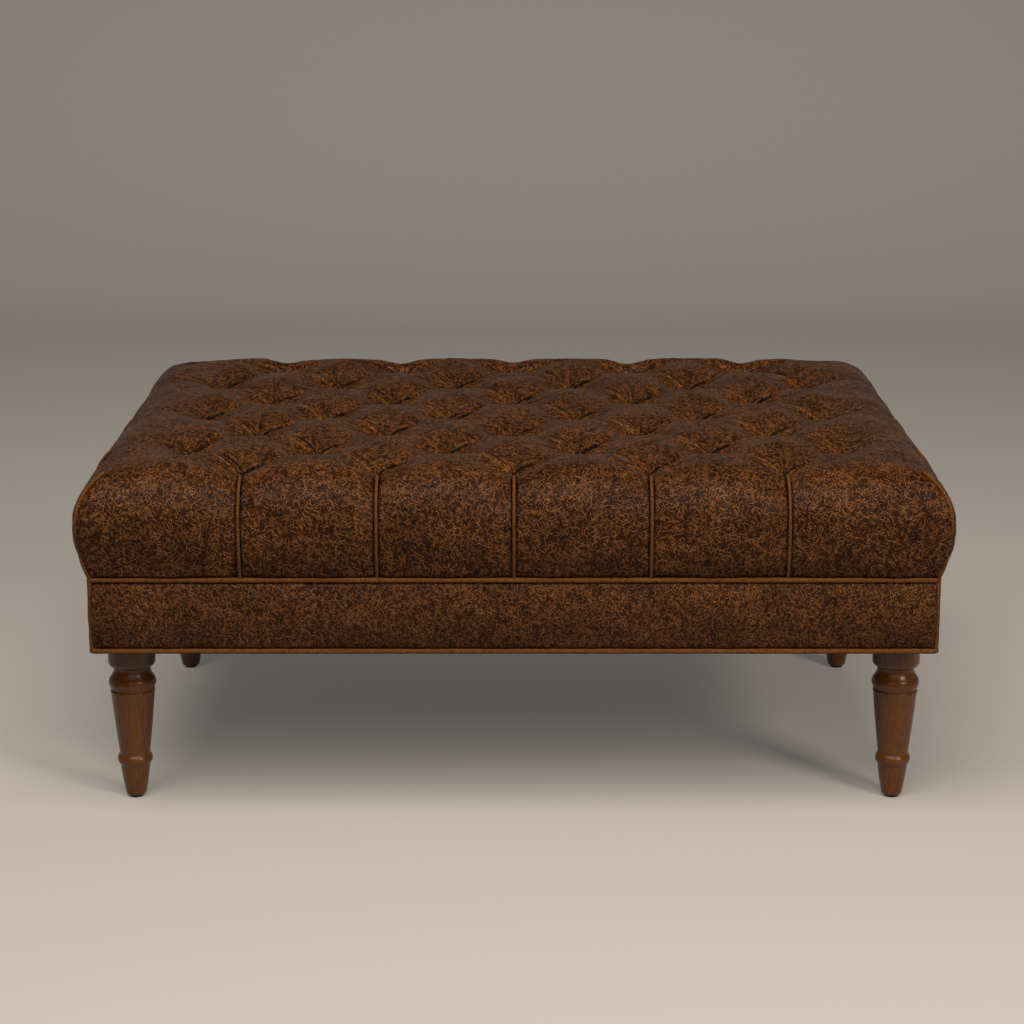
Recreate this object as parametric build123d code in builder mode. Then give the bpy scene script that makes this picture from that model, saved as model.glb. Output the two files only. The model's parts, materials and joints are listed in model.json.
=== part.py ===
import os
from math import asin, cos, pi, radians, sin, sqrt

from build123d import *

# A tufted leather ottoman coffee table. Millimetres, +Z up, front towards -Y.
# The origin is on the floor, under the middle of the cushion.

# Overall sizes
apron_width = 1188
apron_depth = 848
apron_height = 110
leg_height = 245
cushion_height = 159
cushion_overhang = 16

# Turned legs
leg_inset_x = 44
leg_inset_y = 104
collar_diameter = 68
neck_diameter = 52
bulb_diameter = 68
shaft_diameter = 63.5
groove_diameter = 58
ankle_diameter = 43.5
bead_diameter = 50.5
foot_diameter = 29
foot_chamfer = 1.2
# Heights on the leg, as shares of the turned length above the glide
collar_low_share = 0.814
neck_share = 0.78
bulb_share = 0.694
bulb_low_share = 0.647
groove_share = 0.6395
shaft_top_share = 0.63
ankle_share = 0.246
bead_share = 0.21
foot_top_share = 0.173

# Foot glides
glide_diameter = 20
glide_thickness = 4
glide_nail_diameter = 3
glide_nail_length = 16

# Leg fixings
plate_size = 68
plate_thickness = 2.5
plate_hole_offset = 26
bolt_diameter = 8
bolt_wood_diameter = 7
bolt_in_leg = 38
bolt_in_block = 24
bolt_tip = 4

# Wooden frame
rail_thickness = 25
cross_rail_thickness = 22
cross_rail_height = 60
block_side = 150
block_height = 40
block_tip = 12
deck_thickness = 12

# Screws
screw_head_diameter = 8
screw_diameter = 4
plate_screw_length = 22
block_screw_length = 45
block_screw_inset = 112
block_screw_seat = 30
deck_screw_length = 38
deck_screws_each_way = 4

# Apron covering and its piping
panel_thickness = 8
panel_crown = 2.5
welt_proud = 3
welt_diameter = 7.5
welt_corner_radius = 8
corner_welt_diameter = 6.5
welt_flange = 1.5

# Dust cover
dust_cover_thickness = 1
dust_cover_margin = 6
dust_cover_gap = 1

# Cushion
roll_radius = 75
cushion_bottom_inset = 2
plan_corner_radius = 45
end_cap_inset = 1
cover_thickness = 4
foam_height = 80
foam_margin = 50
seam_pinch = 11
seam_pinch_foot = 3
seam_roll_loss = 20
pleat_fade_end = 40
least_crown = 1

# Tufts
tuft_rows = 7
odd_row_tufts = 5
tuft_depth = 40
pleat_rise = 18
first_row_inset = 85
side_margin = 135
tuft_flat = 12
column_flat = 4
seam_welt_diameter = 6
side_welt_sunk = 1.5
pillow_power_share = 0.6
pleat_fade_power_share = 1.5
# Degrees that each piping climbs over the roll
seam_angle = 100
side_angle = 68
corner_angle = 58

# Tufting twines and their washers
tie_diameter = 3
tie_hole_diameter = 6
washer_diameter = 22
washer_thickness = 2.5
tie_tail = 3

# Fits
clearance = 0.3
bolt_clearance = 0.1
overrun = 1

# Sizes that follow from those above
half_width = apron_width / 2 + cushion_overhang
half_depth = apron_depth / 2 + cushion_overhang
apron_top = leg_height + apron_height
frame_bottom = leg_height + plate_thickness
frame_top = apron_top - deck_thickness
panel_x = apron_width / 2 - welt_proud
panel_y = apron_depth / 2 - welt_proud
frame_x = panel_x - panel_thickness
frame_y = panel_y - panel_thickness
inner_x = frame_x - rail_thickness
inner_y = frame_y - rail_thickness
leg_x = apron_width / 2 - leg_inset_x
leg_y = apron_depth / 2 - leg_inset_y
leg_length = leg_height - glide_thickness
widest_z = apron_top + cushion_height - roll_radius
crest_z = apron_top + cushion_height
tuft_z = crest_z - tuft_depth
bottom_x = apron_width / 2 - cushion_bottom_inset
bottom_y = apron_depth / 2 - cushion_bottom_inset
corner_x = half_width - plan_corner_radius
corner_y = half_depth - plan_corner_radius

# The side of the cushion below its widest line is one arc, upright at that line.
side_draw = half_width - bottom_x
side_drop = widest_z - apron_top
side_radius = (side_draw**2 + side_drop**2) / (2 * side_draw)

# Seven rows of tufts, five and six in turn
row_pitch = 2 * (half_depth - first_row_inset) / (tuft_rows - 1)
row_y = [first_row_inset - half_depth + row_pitch * row for row in range(tuft_rows)]
edge_x = half_width - side_margin
column_pitch = 2 * edge_x / odd_row_tufts
even_columns = [column_pitch * column - edge_x for column in range(odd_row_tufts + 1)]
odd_columns = [x + column_pitch / 2 for x in even_columns[:-1]]
tufts = [
    (x, y)
    for row, y in enumerate(row_y)
    for x in (even_columns if row % 2 else odd_columns)
]

corners = {
    "front_left": (-1, -1),
    "front_right": (1, -1),
    "rear_left": (-1, 1),
    "rear_right": (1, 1),
}
sides = {"front": 0, "right": 90, "back": 180, "left": 270}


def write(piece, name):
    piece.part.label = name
    export_step(piece.part, f"parts/{name}.step")


os.makedirs("parts", exist_ok=True)

# Screws are made head up at the origin, pointing down.


def screw(length, spare=0):
    head, shank = screw_head_diameter / 2 + spare, screw_diameter / 2 + spare
    with BuildPart() as piece:
        with BuildSketch(Plane.XZ):
            with BuildLine():
                Polyline((0, 0), (head, 0), (shank, shank - head), (shank, -length), (0, -length), (0, 0))
            make_face()
        revolve(axis=Axis.Z)
    return piece.part


def facing(x, y, z, direction):
    return Plane(origin=(x, y, z), z_dir=direction).location


plate_screw_places = [
    facing(sx * (leg_x + dx), sy * (leg_y + dy), leg_height, (0, 0, -1))
    for sx, sy in corners.values()
    for dx in (-plate_hole_offset, plate_hole_offset)
    for dy in (-plate_hole_offset, plate_hole_offset)
]
block_mid_z = frame_bottom + block_height / 2
block_screw_places = []
for sx, sy in corners.values():
    seat_x, seat_y = sx * (inner_x - block_screw_seat), sy * (inner_y - block_screw_seat)
    along_x, along_y = sx * (inner_x - block_screw_inset), sy * (inner_y - block_screw_inset)
    block_screw_places.append(facing(seat_x, along_y, block_mid_z, (-sx, 0, 0)))
    block_screw_places.append(facing(along_x, seat_y, block_mid_z, (0, -sy, 0)))
rail_screw_y = frame_y - rail_thickness / 2
deck_screw_step = 2 * frame_x / deck_screws_each_way
deck_screw_places = [
    facing(deck_screw_step * (number - (deck_screws_each_way - 1) / 2), y, apron_top, (0, 0, 1))
    for y in (-rail_screw_y, rail_screw_y)
    for number in range(deck_screws_each_way)
]
deck_screw_places += [
    facing(x, 0, apron_top, (0, 0, 1))
    for x in (rail_thickness / 2 - frame_x, frame_x - rail_thickness / 2)
]

screw_sets = {
    "leg_plate_screws": (plate_screw_length, plate_screw_places),
    "corner_block_screws": (block_screw_length, block_screw_places),
    "deck_screws": (deck_screw_length, deck_screw_places),
}
screw_holes = {}
for name, (length, places) in screw_sets.items():
    one_screw, one_hole = screw(length), screw(length, bolt_clearance)
    screw_holes[name] = [one_hole.moved(place) for place in places]
    with BuildPart() as screws:
        add([one_screw.moved(place) for place in places])
    write(screws, name)
all_screw_holes = [hole for holes in screw_holes.values() for hole in holes]

# Rails: the front and back ones run the whole width, the side ones butt between them.
rail_boxes = {
    "rail_front": (0, -rail_screw_y, 2 * frame_x, rail_thickness),
    "rail_back": (0, rail_screw_y, 2 * frame_x, rail_thickness),
    "rail_left": (rail_thickness / 2 - frame_x, 0, rail_thickness, 2 * inner_y),
    "rail_right": (frame_x - rail_thickness / 2, 0, rail_thickness, 2 * inner_y),
}
for name, (x, y, length, width) in rail_boxes.items():
    with BuildPart() as rail:
        with BuildSketch(Plane.XY.offset(frame_bottom)):
            with Locations((x, y)):
                Rectangle(length, width)
        extrude(amount=frame_top - frame_bottom)
        add(all_screw_holes, mode=Mode.SUBTRACT)
    write(rail, name)

# Cross rails stand midway between two columns of tufts, clear of the washers.
cross_rail_x = 3 * column_pitch / 4
for name, x in {"cross_rail_left": -cross_rail_x, "cross_rail_right": cross_rail_x}.items():
    with BuildPart() as cross_rail:
        with BuildSketch(Plane.XY.offset(frame_top - cross_rail_height)):
            with Locations((x, 0)):
                Rectangle(cross_rail_thickness, 2 * inner_y)
        extrude(amount=cross_rail_height)
    write(cross_rail, name)

# Corner blocks, hanger bolts, leg plates, legs and glides, one of each to a corner
with BuildPart() as leg_bolt:
    with BuildSketch(Plane.XZ):
        with BuildLine():
            wood, steel = bolt_wood_diameter / 2, bolt_diameter / 2
            low, high = leg_height - bolt_in_leg, leg_height + bolt_in_block
            Polyline(
                (0, low),
                (wood - bolt_tip / 2, low),
                (wood, low + bolt_tip),
                (wood, leg_height),
                (steel, leg_height),
                (steel, high),
                (0, high),
                (0, low),
            )
        make_face()
    revolve(axis=Axis.Z)

with BuildPart() as turned_leg:
    with BuildSketch(Plane.XZ):
        with BuildLine():
            def height(share):
                return glide_thickness + leg_length * share

            collar, neck, bulb = collar_diameter / 2, neck_diameter / 2, bulb_diameter / 2
            shaft, groove, ankle = shaft_diameter / 2, groove_diameter / 2, ankle_diameter / 2
            bead, foot = bead_diameter / 2, foot_diameter / 2
            Polyline((0, leg_height), (collar, leg_height), (collar, height(collar_low_share)))
            # Quarter round under the collar, then the bulb below the neck
            TangentArc(
                (collar, height(collar_low_share)), (neck, height(neck_share)), tangent=(0, -1)
            )
            bulb_top = (bulb, height(bulb_share))
            TangentArc(bulb_top, (neck, height(neck_share)), tangent=(0, 1))
            TangentArc(bulb_top, (shaft, height(bulb_low_share)), tangent=(0, -1))
            Polyline(
                (shaft, height(bulb_low_share)),
                (groove, height(groove_share)),
                (shaft, height(shaft_top_share)),
                (ankle, height(ankle_share)),
            )
            # Ring bead over the tapered foot
            ThreePointArc(
                (ankle, height(ankle_share)),
                (bead, height(bead_share)),
                (ankle, height(foot_top_share)),
            )
            Polyline(
                (ankle, height(foot_top_share)),
                (foot, glide_thickness + foot_chamfer),
                (foot - foot_chamfer, glide_thickness),
                (0, glide_thickness),
                (0, leg_height),
            )
        make_face()
    revolve(axis=Axis.Z)
    with BuildSketch(Plane.XY.offset(leg_height)):
        Circle(bolt_wood_diameter / 2 + bolt_clearance)
    extrude(amount=-bolt_in_leg - overrun, mode=Mode.SUBTRACT)
    with BuildSketch(Plane.XY.offset(glide_thickness)):
        Circle(glide_nail_diameter / 2 + bolt_clearance)
    extrude(amount=glide_nail_length + overrun, mode=Mode.SUBTRACT)

with BuildPart() as glide:
    with BuildSketch(Plane.XY):
        Circle(glide_diameter / 2)
    extrude(amount=glide_thickness)
    with BuildSketch(Plane.XY.offset(glide_thickness)):
        Circle(glide_nail_diameter / 2)
    extrude(amount=glide_nail_length)

for name, (sx, sy) in corners.items():
    with BuildPart() as corner_block:
        with BuildSketch(Plane.XY.offset(frame_bottom)):
            with BuildLine():
                far_x, far_y = inner_x - block_side, inner_y - block_side
                outline = [
                    (inner_x, inner_y),
                    (far_x, inner_y),
                    (far_x, inner_y - block_tip),
                    (inner_x - block_tip, far_y),
                    (inner_x, far_y),
                ]
                Polyline(*[(sx * x, sy * y) for x, y in outline], close=True)
            make_face()
        extrude(amount=block_height)
        with BuildSketch(Plane.XY.offset(frame_bottom)):
            with Locations((sx * leg_x, sy * leg_y)):
                Circle(bolt_diameter / 2 + bolt_clearance)
        extrude(amount=block_height, mode=Mode.SUBTRACT)
        add(all_screw_holes, mode=Mode.SUBTRACT)
        # Counterbores in the sloping face let the screw heads in.
        for place in block_screw_places:
            with Locations(place):
                Cylinder(
                    screw_head_diameter / 2 + bolt_clearance,
                    block_side,
                    align=(Align.CENTER, Align.CENTER, Align.MIN),
                    mode=Mode.SUBTRACT,
                )
    write(corner_block, f"corner_block_{name}")

    with BuildPart() as leg_plate:
        with BuildSketch(Plane.XY.offset(leg_height)):
            with Locations((sx * leg_x, sy * leg_y)):
                Rectangle(plate_size, plate_size)
                Circle(bolt_diameter / 2 + bolt_clearance, mode=Mode.SUBTRACT)
        extrude(amount=plate_thickness)
        add(screw_holes["leg_plate_screws"], mode=Mode.SUBTRACT)
    write(leg_plate, f"leg_plate_{name}")

    for shape, kind in ((turned_leg, "leg"), (leg_bolt, "leg_bolt"), (glide, "foot_glide")):
        with BuildPart() as placed:
            with Locations((sx * leg_x, sy * leg_y)):
                add(shape.part)
        write(placed, f"{kind}_{name}")

# Plywood deck, flush with the rails, with a drilled hole for each tufting twine
with BuildPart() as deck_panel:
    with BuildSketch(Plane.XY.offset(frame_top)):
        Rectangle(2 * frame_x, 2 * frame_y)
        with Locations(*tufts):
            Circle(tie_hole_diameter / 2, mode=Mode.SUBTRACT)
    extrude(amount=deck_thickness)
    add(screw_holes["deck_screws"], mode=Mode.SUBTRACT)
write(deck_panel, "deck_panel")

# Dust cover, cut round the leg plates
with BuildPart() as dust_cover:
    with BuildSketch(Plane.XY.offset(frame_bottom)):
        Rectangle(2 * (frame_x - dust_cover_margin), 2 * (frame_y - dust_cover_margin))
        with Locations(*[(sx * leg_x, sy * leg_y) for sx, sy in corners.values()]):
            cut_out = plate_size + 2 * dust_cover_gap
            Rectangle(cut_out, cut_out, mode=Mode.SUBTRACT)
    extrude(amount=-dust_cover_thickness)
write(dust_cover, "dust_cover")

# Foam core inside the cover, pierced for the twines. Twines and their small holes are six-sided.
foam_x, foam_y = half_width - foam_margin, half_depth - foam_margin
with BuildPart() as foam_core:
    with BuildSketch(Plane.XY.offset(apron_top)):
        Rectangle(2 * foam_x, 2 * foam_y)
        with Locations(*tufts):
            RegularPolygon(tie_hole_diameter / 2, 6, mode=Mode.SUBTRACT)
    extrude(amount=foam_height)
write(foam_core, "foam_core")

# Twines run from the back of each tuft, through foam and deck, to a washer underneath.
tie_low = frame_top - washer_thickness - tie_tail
tie_high = tuft_z - cover_thickness - clearance
with BuildPart() as tuft_ties:
    with BuildSketch(Plane.XY.offset(tie_low)):
        with Locations(*tufts):
            RegularPolygon(tie_diameter / 2, 6)
    extrude(amount=tie_high - tie_low)
write(tuft_ties, "tuft_ties")

with BuildPart() as tie_washers:
    with BuildSketch(Plane.XY.offset(frame_top - washer_thickness)):
        with Locations(*tufts):
            RegularPolygon(washer_diameter / 2, 8)
            RegularPolygon(tie_diameter / 2 + bolt_clearance, 6, mode=Mode.SUBTRACT)
    extrude(amount=washer_thickness)
write(tie_washers, "tie_washers")

# Piping round the apron: a round welt with a flat flange that is stapled to the frame
welt_radius = welt_diameter / 2
welt_x, welt_y = apron_width / 2 - welt_radius, apron_depth / 2 - welt_radius
welt_places = {
    "apron_bottom_welt": leg_height + welt_radius,
    "apron_top_welt": apron_top - welt_radius,
}
for name, z in welt_places.items():
    with BuildPart() as welt:
        with BuildSketch(Plane.XY.offset(z - welt_flange / 2)):
            RectangleRounded(2 * welt_x, 2 * welt_y, welt_corner_radius)
            Rectangle(2 * frame_x, 2 * frame_y, mode=Mode.SUBTRACT)
        extrude(amount=welt_flange)
        with BuildSketch(Plane.XY.offset(z), mode=Mode.PRIVATE) as loop:
            RectangleRounded(2 * welt_x, 2 * welt_y, welt_corner_radius)
        line = loop.sketch.faces()[0].outer_wire()
        with BuildSketch(Plane(origin=line @ 0, z_dir=line % 0)):
            Circle(welt_radius)
        sweep(path=line)
    write(welt, name)

# Corner piping stands between the two, with its flange running in to the frame's corner.
corner_radius = corner_welt_diameter / 2
corner_low = leg_height + welt_diameter + clearance
corner_high = apron_top - welt_diameter - clearance
pipe_x, pipe_y = apron_width / 2 - corner_radius, apron_depth / 2 - corner_radius


def corner_welt(sx, sy, spare=0):
    with BuildPart() as piece:
        with BuildSketch(Plane.XY.offset(corner_low - overrun * spare)):
            with Locations((sx * pipe_x, sy * pipe_y)):
                Circle(corner_radius + spare)
            with BuildLine():
                run = pipe_x - frame_x
                half = (welt_flange / 2 + spare) / sqrt(2)
                Polyline(
                    (sx * (pipe_x - run + half), sy * (pipe_y - run - half)),
                    (sx * (pipe_x + half), sy * (pipe_y - half)),
                    (sx * (pipe_x - half), sy * (pipe_y + half)),
                    (sx * (pipe_x - run - half), sy * (pipe_y - run + half)),
                    close=True,
                )
            make_face()
        extrude(amount=corner_high - corner_low + 2 * overrun * spare)
        if not spare:
            with BuildSketch(Plane.XY.offset(corner_low)):
                Rectangle(2 * frame_x, 2 * frame_y)
            extrude(amount=corner_high - corner_low, mode=Mode.SUBTRACT)
    return piece


for name, (sx, sy) in corners.items():
    write(corner_welt(sx, sy), f"apron_corner_welt_{name}")
corner_welt_room = [corner_welt(sx, sy, clearance).part for sx, sy in corners.values()]

# Apron panels: leather over a thin pad, crowned, mitred at the corners round the piping
for name, turn in sides.items():
    long_side = turn % 180 == 0
    reach, face = (frame_x, panel_y) if long_side else (frame_y, panel_x)
    back = face - panel_thickness
    with BuildPart() as flat_panel:
        with BuildSketch(Plane.YZ.offset(-reach - panel_thickness)):
            with BuildLine():
                edge = panel_crown - face
                crown_z = (corner_low + corner_high) / 2
                Polyline((edge, corner_low), (-back, corner_low), (-back, corner_high), (edge, corner_high))
                ThreePointArc((edge, corner_high), (-face, crown_z), (edge, corner_low))
            make_face()
        extrude(amount=2 * (reach + panel_thickness))
        for end in (-1, 1):
            mitre = Plane(origin=(end * reach, -back, 0), z_dir=(end, 1, 0))
            split(bisect_by=mitre, keep=Keep.BOTTOM)
    with BuildPart() as apron_panel:
        add(flat_panel.part.rotate(Axis.Z, turn))
        add(corner_welt_room, mode=Mode.SUBTRACT)
    write(apron_panel, f"apron_panel_{name}")


# The cushion is lofted through upright sections across its width. Each has the same twelve edges:
# the flat bottom, three arcs up the front, a pillow arc for each inner row, three arcs down the back.


def pillow_share(x):
    # 0 at a column of the odd rows, 1 at a column of the even rows, level for a little round each
    step = column_pitch / 2
    along = abs(x) / step
    near = along % 2
    distance = step * (near if near <= 1 else 2 - near)
    return min(1, max(0, (distance - column_flat) / (step - 2 * column_flat)))


def crown(share):
    return max(share, 0) ** pillow_power_share


def side_height(x, above):
    # Height of the side's outline at x, above or below the widest line
    if above:
        inward = max(x - (half_width - roll_radius), 0)
        return widest_z + sqrt(roll_radius**2 - inward**2)
    inward = max(x - (half_width - side_radius), 0)
    return max(widest_z - sqrt(side_radius**2 - inward**2), apron_top)


def rounded(x, radius):
    # How far the plan of that corner radius reaches past the corner's centre
    past = max(x - corner_x, 0)
    return sqrt(max(radius**2 - past**2, 0))


def cushion_section(x):
    away = abs(x)
    outside = away > edge_x
    share = 1 if outside else pillow_share(away)
    low, top = side_height(away, False), side_height(away, True)
    if outside:
        fade = max(1 - (away - edge_x) / (half_width - pleat_fade_end - edge_x), 0)
        depth = least_crown + (tuft_depth - least_crown) * fade**pleat_fade_power_share
        pinch = 0
    else:
        depth = tuft_depth - pleat_rise * sin(pi * share)
        pinch = 1 - crown(sin(pi * share / 2))
    pleat = top - depth
    # Front and back outline, drawn in at each seam and round the corners
    roll = roll_radius - seam_roll_loss * pinch
    wide_y = corner_y + rounded(away, plan_corner_radius) - seam_pinch * pinch
    crest_y = min(wide_y - roll, corner_y) if away < corner_x else corner_y
    if away > half_width - roll_radius:
        crest_y = min(half_depth - roll_radius + away - (half_width - roll_radius), corner_y)
    crest = min(top, widest_z + roll)
    foot_radius = max(plan_corner_radius - side_draw, 0)
    foot_y = bottom_y - foot_radius + rounded(away, foot_radius) - seam_pinch_foot * pinch
    # The twelve edges meet at these places between the rows.
    flat = tuft_flat / 2
    at_odd = [row_y[0], row_y[2] - flat, row_y[2] + flat, row_y[4] - flat, row_y[4] + flat, row_y[6]]
    at_even = [row_y[row] + side for row in (1, 3, 5) for side in (-flat, flat)]
    joins = [odd + (even - odd) * share for odd, even in zip(at_odd, at_even)]
    full = 2 * row_pitch - tuft_flat
    with BuildSketch(Plane.YZ.offset(x)) as section:
        with BuildLine():
            Line((foot_y, low), (-foot_y, low))
            TangentArc((-wide_y, widest_z), (-foot_y, low), tangent=(0, -1))
            TangentArc((-wide_y, widest_z), (-crest_y, crest), tangent=(0, 1))
            TangentArc((-crest_y, crest), (joins[0], pleat), tangent=(1, 0))
            for start, end in zip(joins, joins[1:]):
                swell = crown((end - start - tuft_flat) / full) * (depth - clearance) + clearance
                ThreePointArc((start, pleat), ((start + end) / 2, pleat + swell), (end, pleat))
            TangentArc((crest_y, crest), (joins[-1], pleat), tangent=(-1, 0))
            TangentArc((wide_y, widest_z), (crest_y, crest), tangent=(0, 1))
            TangentArc((wide_y, widest_z), (foot_y, low), tangent=(0, -1))
        make_face()
    return section.sketch.face()


# Section places: between two columns, and from the last column out over the side
between_shares = (0, 0.1, 0.35, 0.65, 0.9, 1)
side_shares = (0.2, 0.4, 0.56, 0.7, 0.82, 0.91, 0.97)
half_step = column_pitch / 2
right_half = [
    half_step * column + column_flat + (half_step - 2 * column_flat) * share
    for column in range(odd_row_tufts)
    for share in between_shares
]
side_reach = side_margin - column_flat - end_cap_inset
right_half += [edge_x + column_flat + side_reach * share for share in (0, *side_shares, 1)]
section_places = sorted([-x for x in right_half] + right_half)


def seam_path(plane, foot, wide, roll, turn, low):
    # Piping line up a side of the cushion: the lower arc, then the roll through the angle turn
    drawn, drop = wide - foot, widest_z - low
    bow = (drawn**2 + drop**2) / (2 * drawn)

    def on_arc(radius, angle):
        return wide - radius + radius * cos(angle), widest_z + radius * sin(angle)

    sweep_down, sweep_up = asin(drop / bow), radians(turn)
    with BuildLine(plane) as line:
        ThreePointArc((foot, low), on_arc(bow, -sweep_down / 2), (wide, widest_z))
        ThreePointArc((wide, widest_z), on_arc(roll, sweep_up / 2), on_arc(roll, sweep_up))
    return line.wires()[0]


def piping(path, radius):
    with BuildPart() as piece:
        with BuildSketch(Plane(origin=path @ 0, z_dir=path % 0)):
            RegularPolygon(radius, 6)
        sweep(path=path)
    return piece.part


seam_radius = seam_welt_diameter / 2
seam_low = apron_top + clearance


def drawn_in(z):
    # How far the side at that height lies inside its widest line
    return side_radius - sqrt(side_radius**2 - (widest_z - z) ** 2)


# Front and back seams lie in the pinched line of each odd column, from the apron to the first tuft.
stand_off = seam_radius + clearance
seam_wide = half_depth - seam_pinch + stand_off
seam_foot = bottom_y - seam_pinch_foot + stand_off
front_seam = seam_path(
    Plane(origin=(0, 0, 0), x_dir=(0, -1, 0), z_dir=(-1, 0, 0)),
    seam_foot, seam_wide, roll_radius - seam_roll_loss + stand_off, seam_angle, seam_low,
)
front_piping = piping(front_seam, seam_radius)
for name, turn in (("front", 0), ("back", 180)):
    with BuildPart() as seam_welts:
        with Locations(*[(x, 0, 0) for x in odd_columns]):
            add(front_piping.rotate(Axis.Z, turn))
    write(seam_welts, f"{name}_seam_welts")


# Side seams and corner seams are half sunk in a channel of the cushion.
def side_piping(sx, y, radius, low):
    wide = half_width - side_welt_sunk
    plane = Plane(origin=(0, y, 0), x_dir=(sx, 0, 0), z_dir=(0, -sx, 0))
    return piping(seam_path(plane, wide - drawn_in(low), wide, roll_radius, side_angle, low), radius)


def corner_piping(sx, sy, radius, low):
    middle = (sx * corner_x, sy * corner_y, 0)
    plane = Plane(origin=middle, x_dir=(sx, sy, 0), z_dir=(sy, -sx, 0))
    wide = plan_corner_radius - side_welt_sunk
    return piping(seam_path(plane, wide - drawn_in(low), wide, roll_radius, corner_angle, low), radius)


side_rows = [row_y[row] for row in (1, 3, 5)]
for name, sx in (("left", -1), ("right", 1)):
    pipes = [side_piping(sx, y, seam_radius, seam_low) for y in side_rows]
    with BuildPart() as side_welts:
        add(pipes)
    write(side_welts, f"{name}_seam_welts")
for name, (sx, sy) in corners.items():
    pipe = corner_piping(sx, sy, seam_radius, seam_low)
    with BuildPart() as cushion_corner_welt:
        add(pipe)
    write(cushion_corner_welt, f"cushion_corner_welt_{name}")

channel_radius = seam_radius + clearance
channel_low = apron_top - overrun
channels = [side_piping(sx, y, channel_radius, channel_low) for sx in (-1, 1) for y in side_rows]
channels += [corner_piping(sx, sy, channel_radius, channel_low) for sx, sy in corners.values()]
sections = [cushion_section(x) for x in section_places]
with BuildPart() as tufted_cushion:
    loft(sections, ruled=True)
    with BuildSketch(Plane.XY.offset(apron_top)):
        Rectangle(2 * (foam_x + clearance), 2 * (foam_y + clearance))
    extrude(amount=foam_height + clearance, mode=Mode.SUBTRACT)
    with BuildSketch(Plane.XY.offset(apron_top + foam_height)):
        with Locations(*tufts):
            RegularPolygon(tie_diameter / 2 + bolt_clearance, 6)
    extrude(amount=tuft_z - cover_thickness - apron_top - foam_height, mode=Mode.SUBTRACT)
    add(channels, mode=Mode.SUBTRACT)
write(tufted_cushion, "tufted_cushion")
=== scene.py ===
import bpy
import bmesh
import math
import numpy as np
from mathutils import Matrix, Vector
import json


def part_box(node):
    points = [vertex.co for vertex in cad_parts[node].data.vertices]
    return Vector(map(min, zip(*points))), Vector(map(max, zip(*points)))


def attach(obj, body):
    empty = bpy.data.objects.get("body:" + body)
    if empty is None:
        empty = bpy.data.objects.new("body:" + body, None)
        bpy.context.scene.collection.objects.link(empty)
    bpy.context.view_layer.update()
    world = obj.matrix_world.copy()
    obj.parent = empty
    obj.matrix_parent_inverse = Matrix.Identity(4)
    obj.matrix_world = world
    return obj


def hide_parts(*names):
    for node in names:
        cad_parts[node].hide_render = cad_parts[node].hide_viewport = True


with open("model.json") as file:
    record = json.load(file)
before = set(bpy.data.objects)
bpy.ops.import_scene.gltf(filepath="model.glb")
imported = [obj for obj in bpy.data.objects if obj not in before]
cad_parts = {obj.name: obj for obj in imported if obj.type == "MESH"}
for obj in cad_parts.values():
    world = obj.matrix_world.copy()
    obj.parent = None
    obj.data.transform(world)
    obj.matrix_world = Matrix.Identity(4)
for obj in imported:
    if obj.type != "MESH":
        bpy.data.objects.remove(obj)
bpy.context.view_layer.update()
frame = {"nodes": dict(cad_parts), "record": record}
mm = 0.001
print("frame loaded:", len(frame["nodes"]), "nodes")

# small helpers used all through


def linearColor(hexText):
    # sRGB hex to the linear values that shaders want
    parts = [int(hexText[i:i + 2], 16) / 255 for i in (1, 3, 5)]
    return [c / 12.92 if c <= 0.04045 else ((c + 0.055) / 1.055) ** 2.4 for c in parts] + [1.0]


def addNode(tree, kind, inputs=None, stops=None, **settings):
    # adds a node: its settings, a ramp's stops, then values and links by socket name or number
    node = tree.nodes.new(kind)
    for key, value in settings.items():
        setattr(node, key, value)
    for i, (place, color) in enumerate(stops or []):
        element = node.color_ramp.elements[i] if i < 2 else node.color_ramp.elements.new(place)
        element.position, element.color = place, linearColor(color)
    for key, value in (inputs or {}).items():
        if isinstance(key, int):
            socket = node.inputs[key]
        else:
            socket = next(s for s in node.inputs if s.name == key and s.enabled)
        if isinstance(value, bpy.types.Node):
            value = next(s for s in value.outputs if s.enabled)
        if isinstance(value, bpy.types.NodeSocket):
            tree.links.new(value, socket)
        else:
            socket.default_value = value
    return node


def newMaterial(name):
    material = bpy.data.materials.new(name)
    material.use_nodes = True
    material.node_tree.nodes.clear()
    return material, material.node_tree


def addObject(name, data):
    piece = bpy.data.objects.new(name, data)
    bpy.context.scene.collection.objects.link(piece)
    return piece


def meshPiece(name, points, faces, material):
    mesh = bpy.data.meshes.new(name)
    mesh.from_pydata([tuple(p) for p in points], [], faces)
    mesh.materials.append(material)
    mesh.polygons.foreach_set("use_smooth", [True] * len(mesh.polygons))
    mesh.update()
    return addObject(name, mesh)


def gridQuads(index):
    # the four corners of each cell of a grid of point numbers
    return np.stack([index[:-1, :-1], index[1:, :-1], index[1:, 1:], index[:-1, 1:]], -1).reshape(-1, 4)


def writeAttribute(piece, name, values):
    # one number or one place for each point of the mesh
    kind, key = ("FLOAT", "value") if values.ndim == 1 else ("FLOAT_VECTOR", "vector")
    attribute = piece.data.attributes.new(name, kind, "POINT")
    attribute.data.foreach_set(key, values.astype(np.float32).reshape(-1))


def curvePiece(name, lines, closed=False):
    # open or closed runs of points, as the path of a Geometry Nodes sweep
    curve = bpy.data.curves.new(name, "CURVE")
    curve.dimensions = "3D"
    for line in lines:
        spline = curve.splines.new("POLY")
        spline.points.add(len(line) - 1)
        for point, place in zip(spline.points, line):
            point.co = (*place, 1)
        spline.use_cyclic_u = closed
    return addObject(name, curve)


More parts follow.
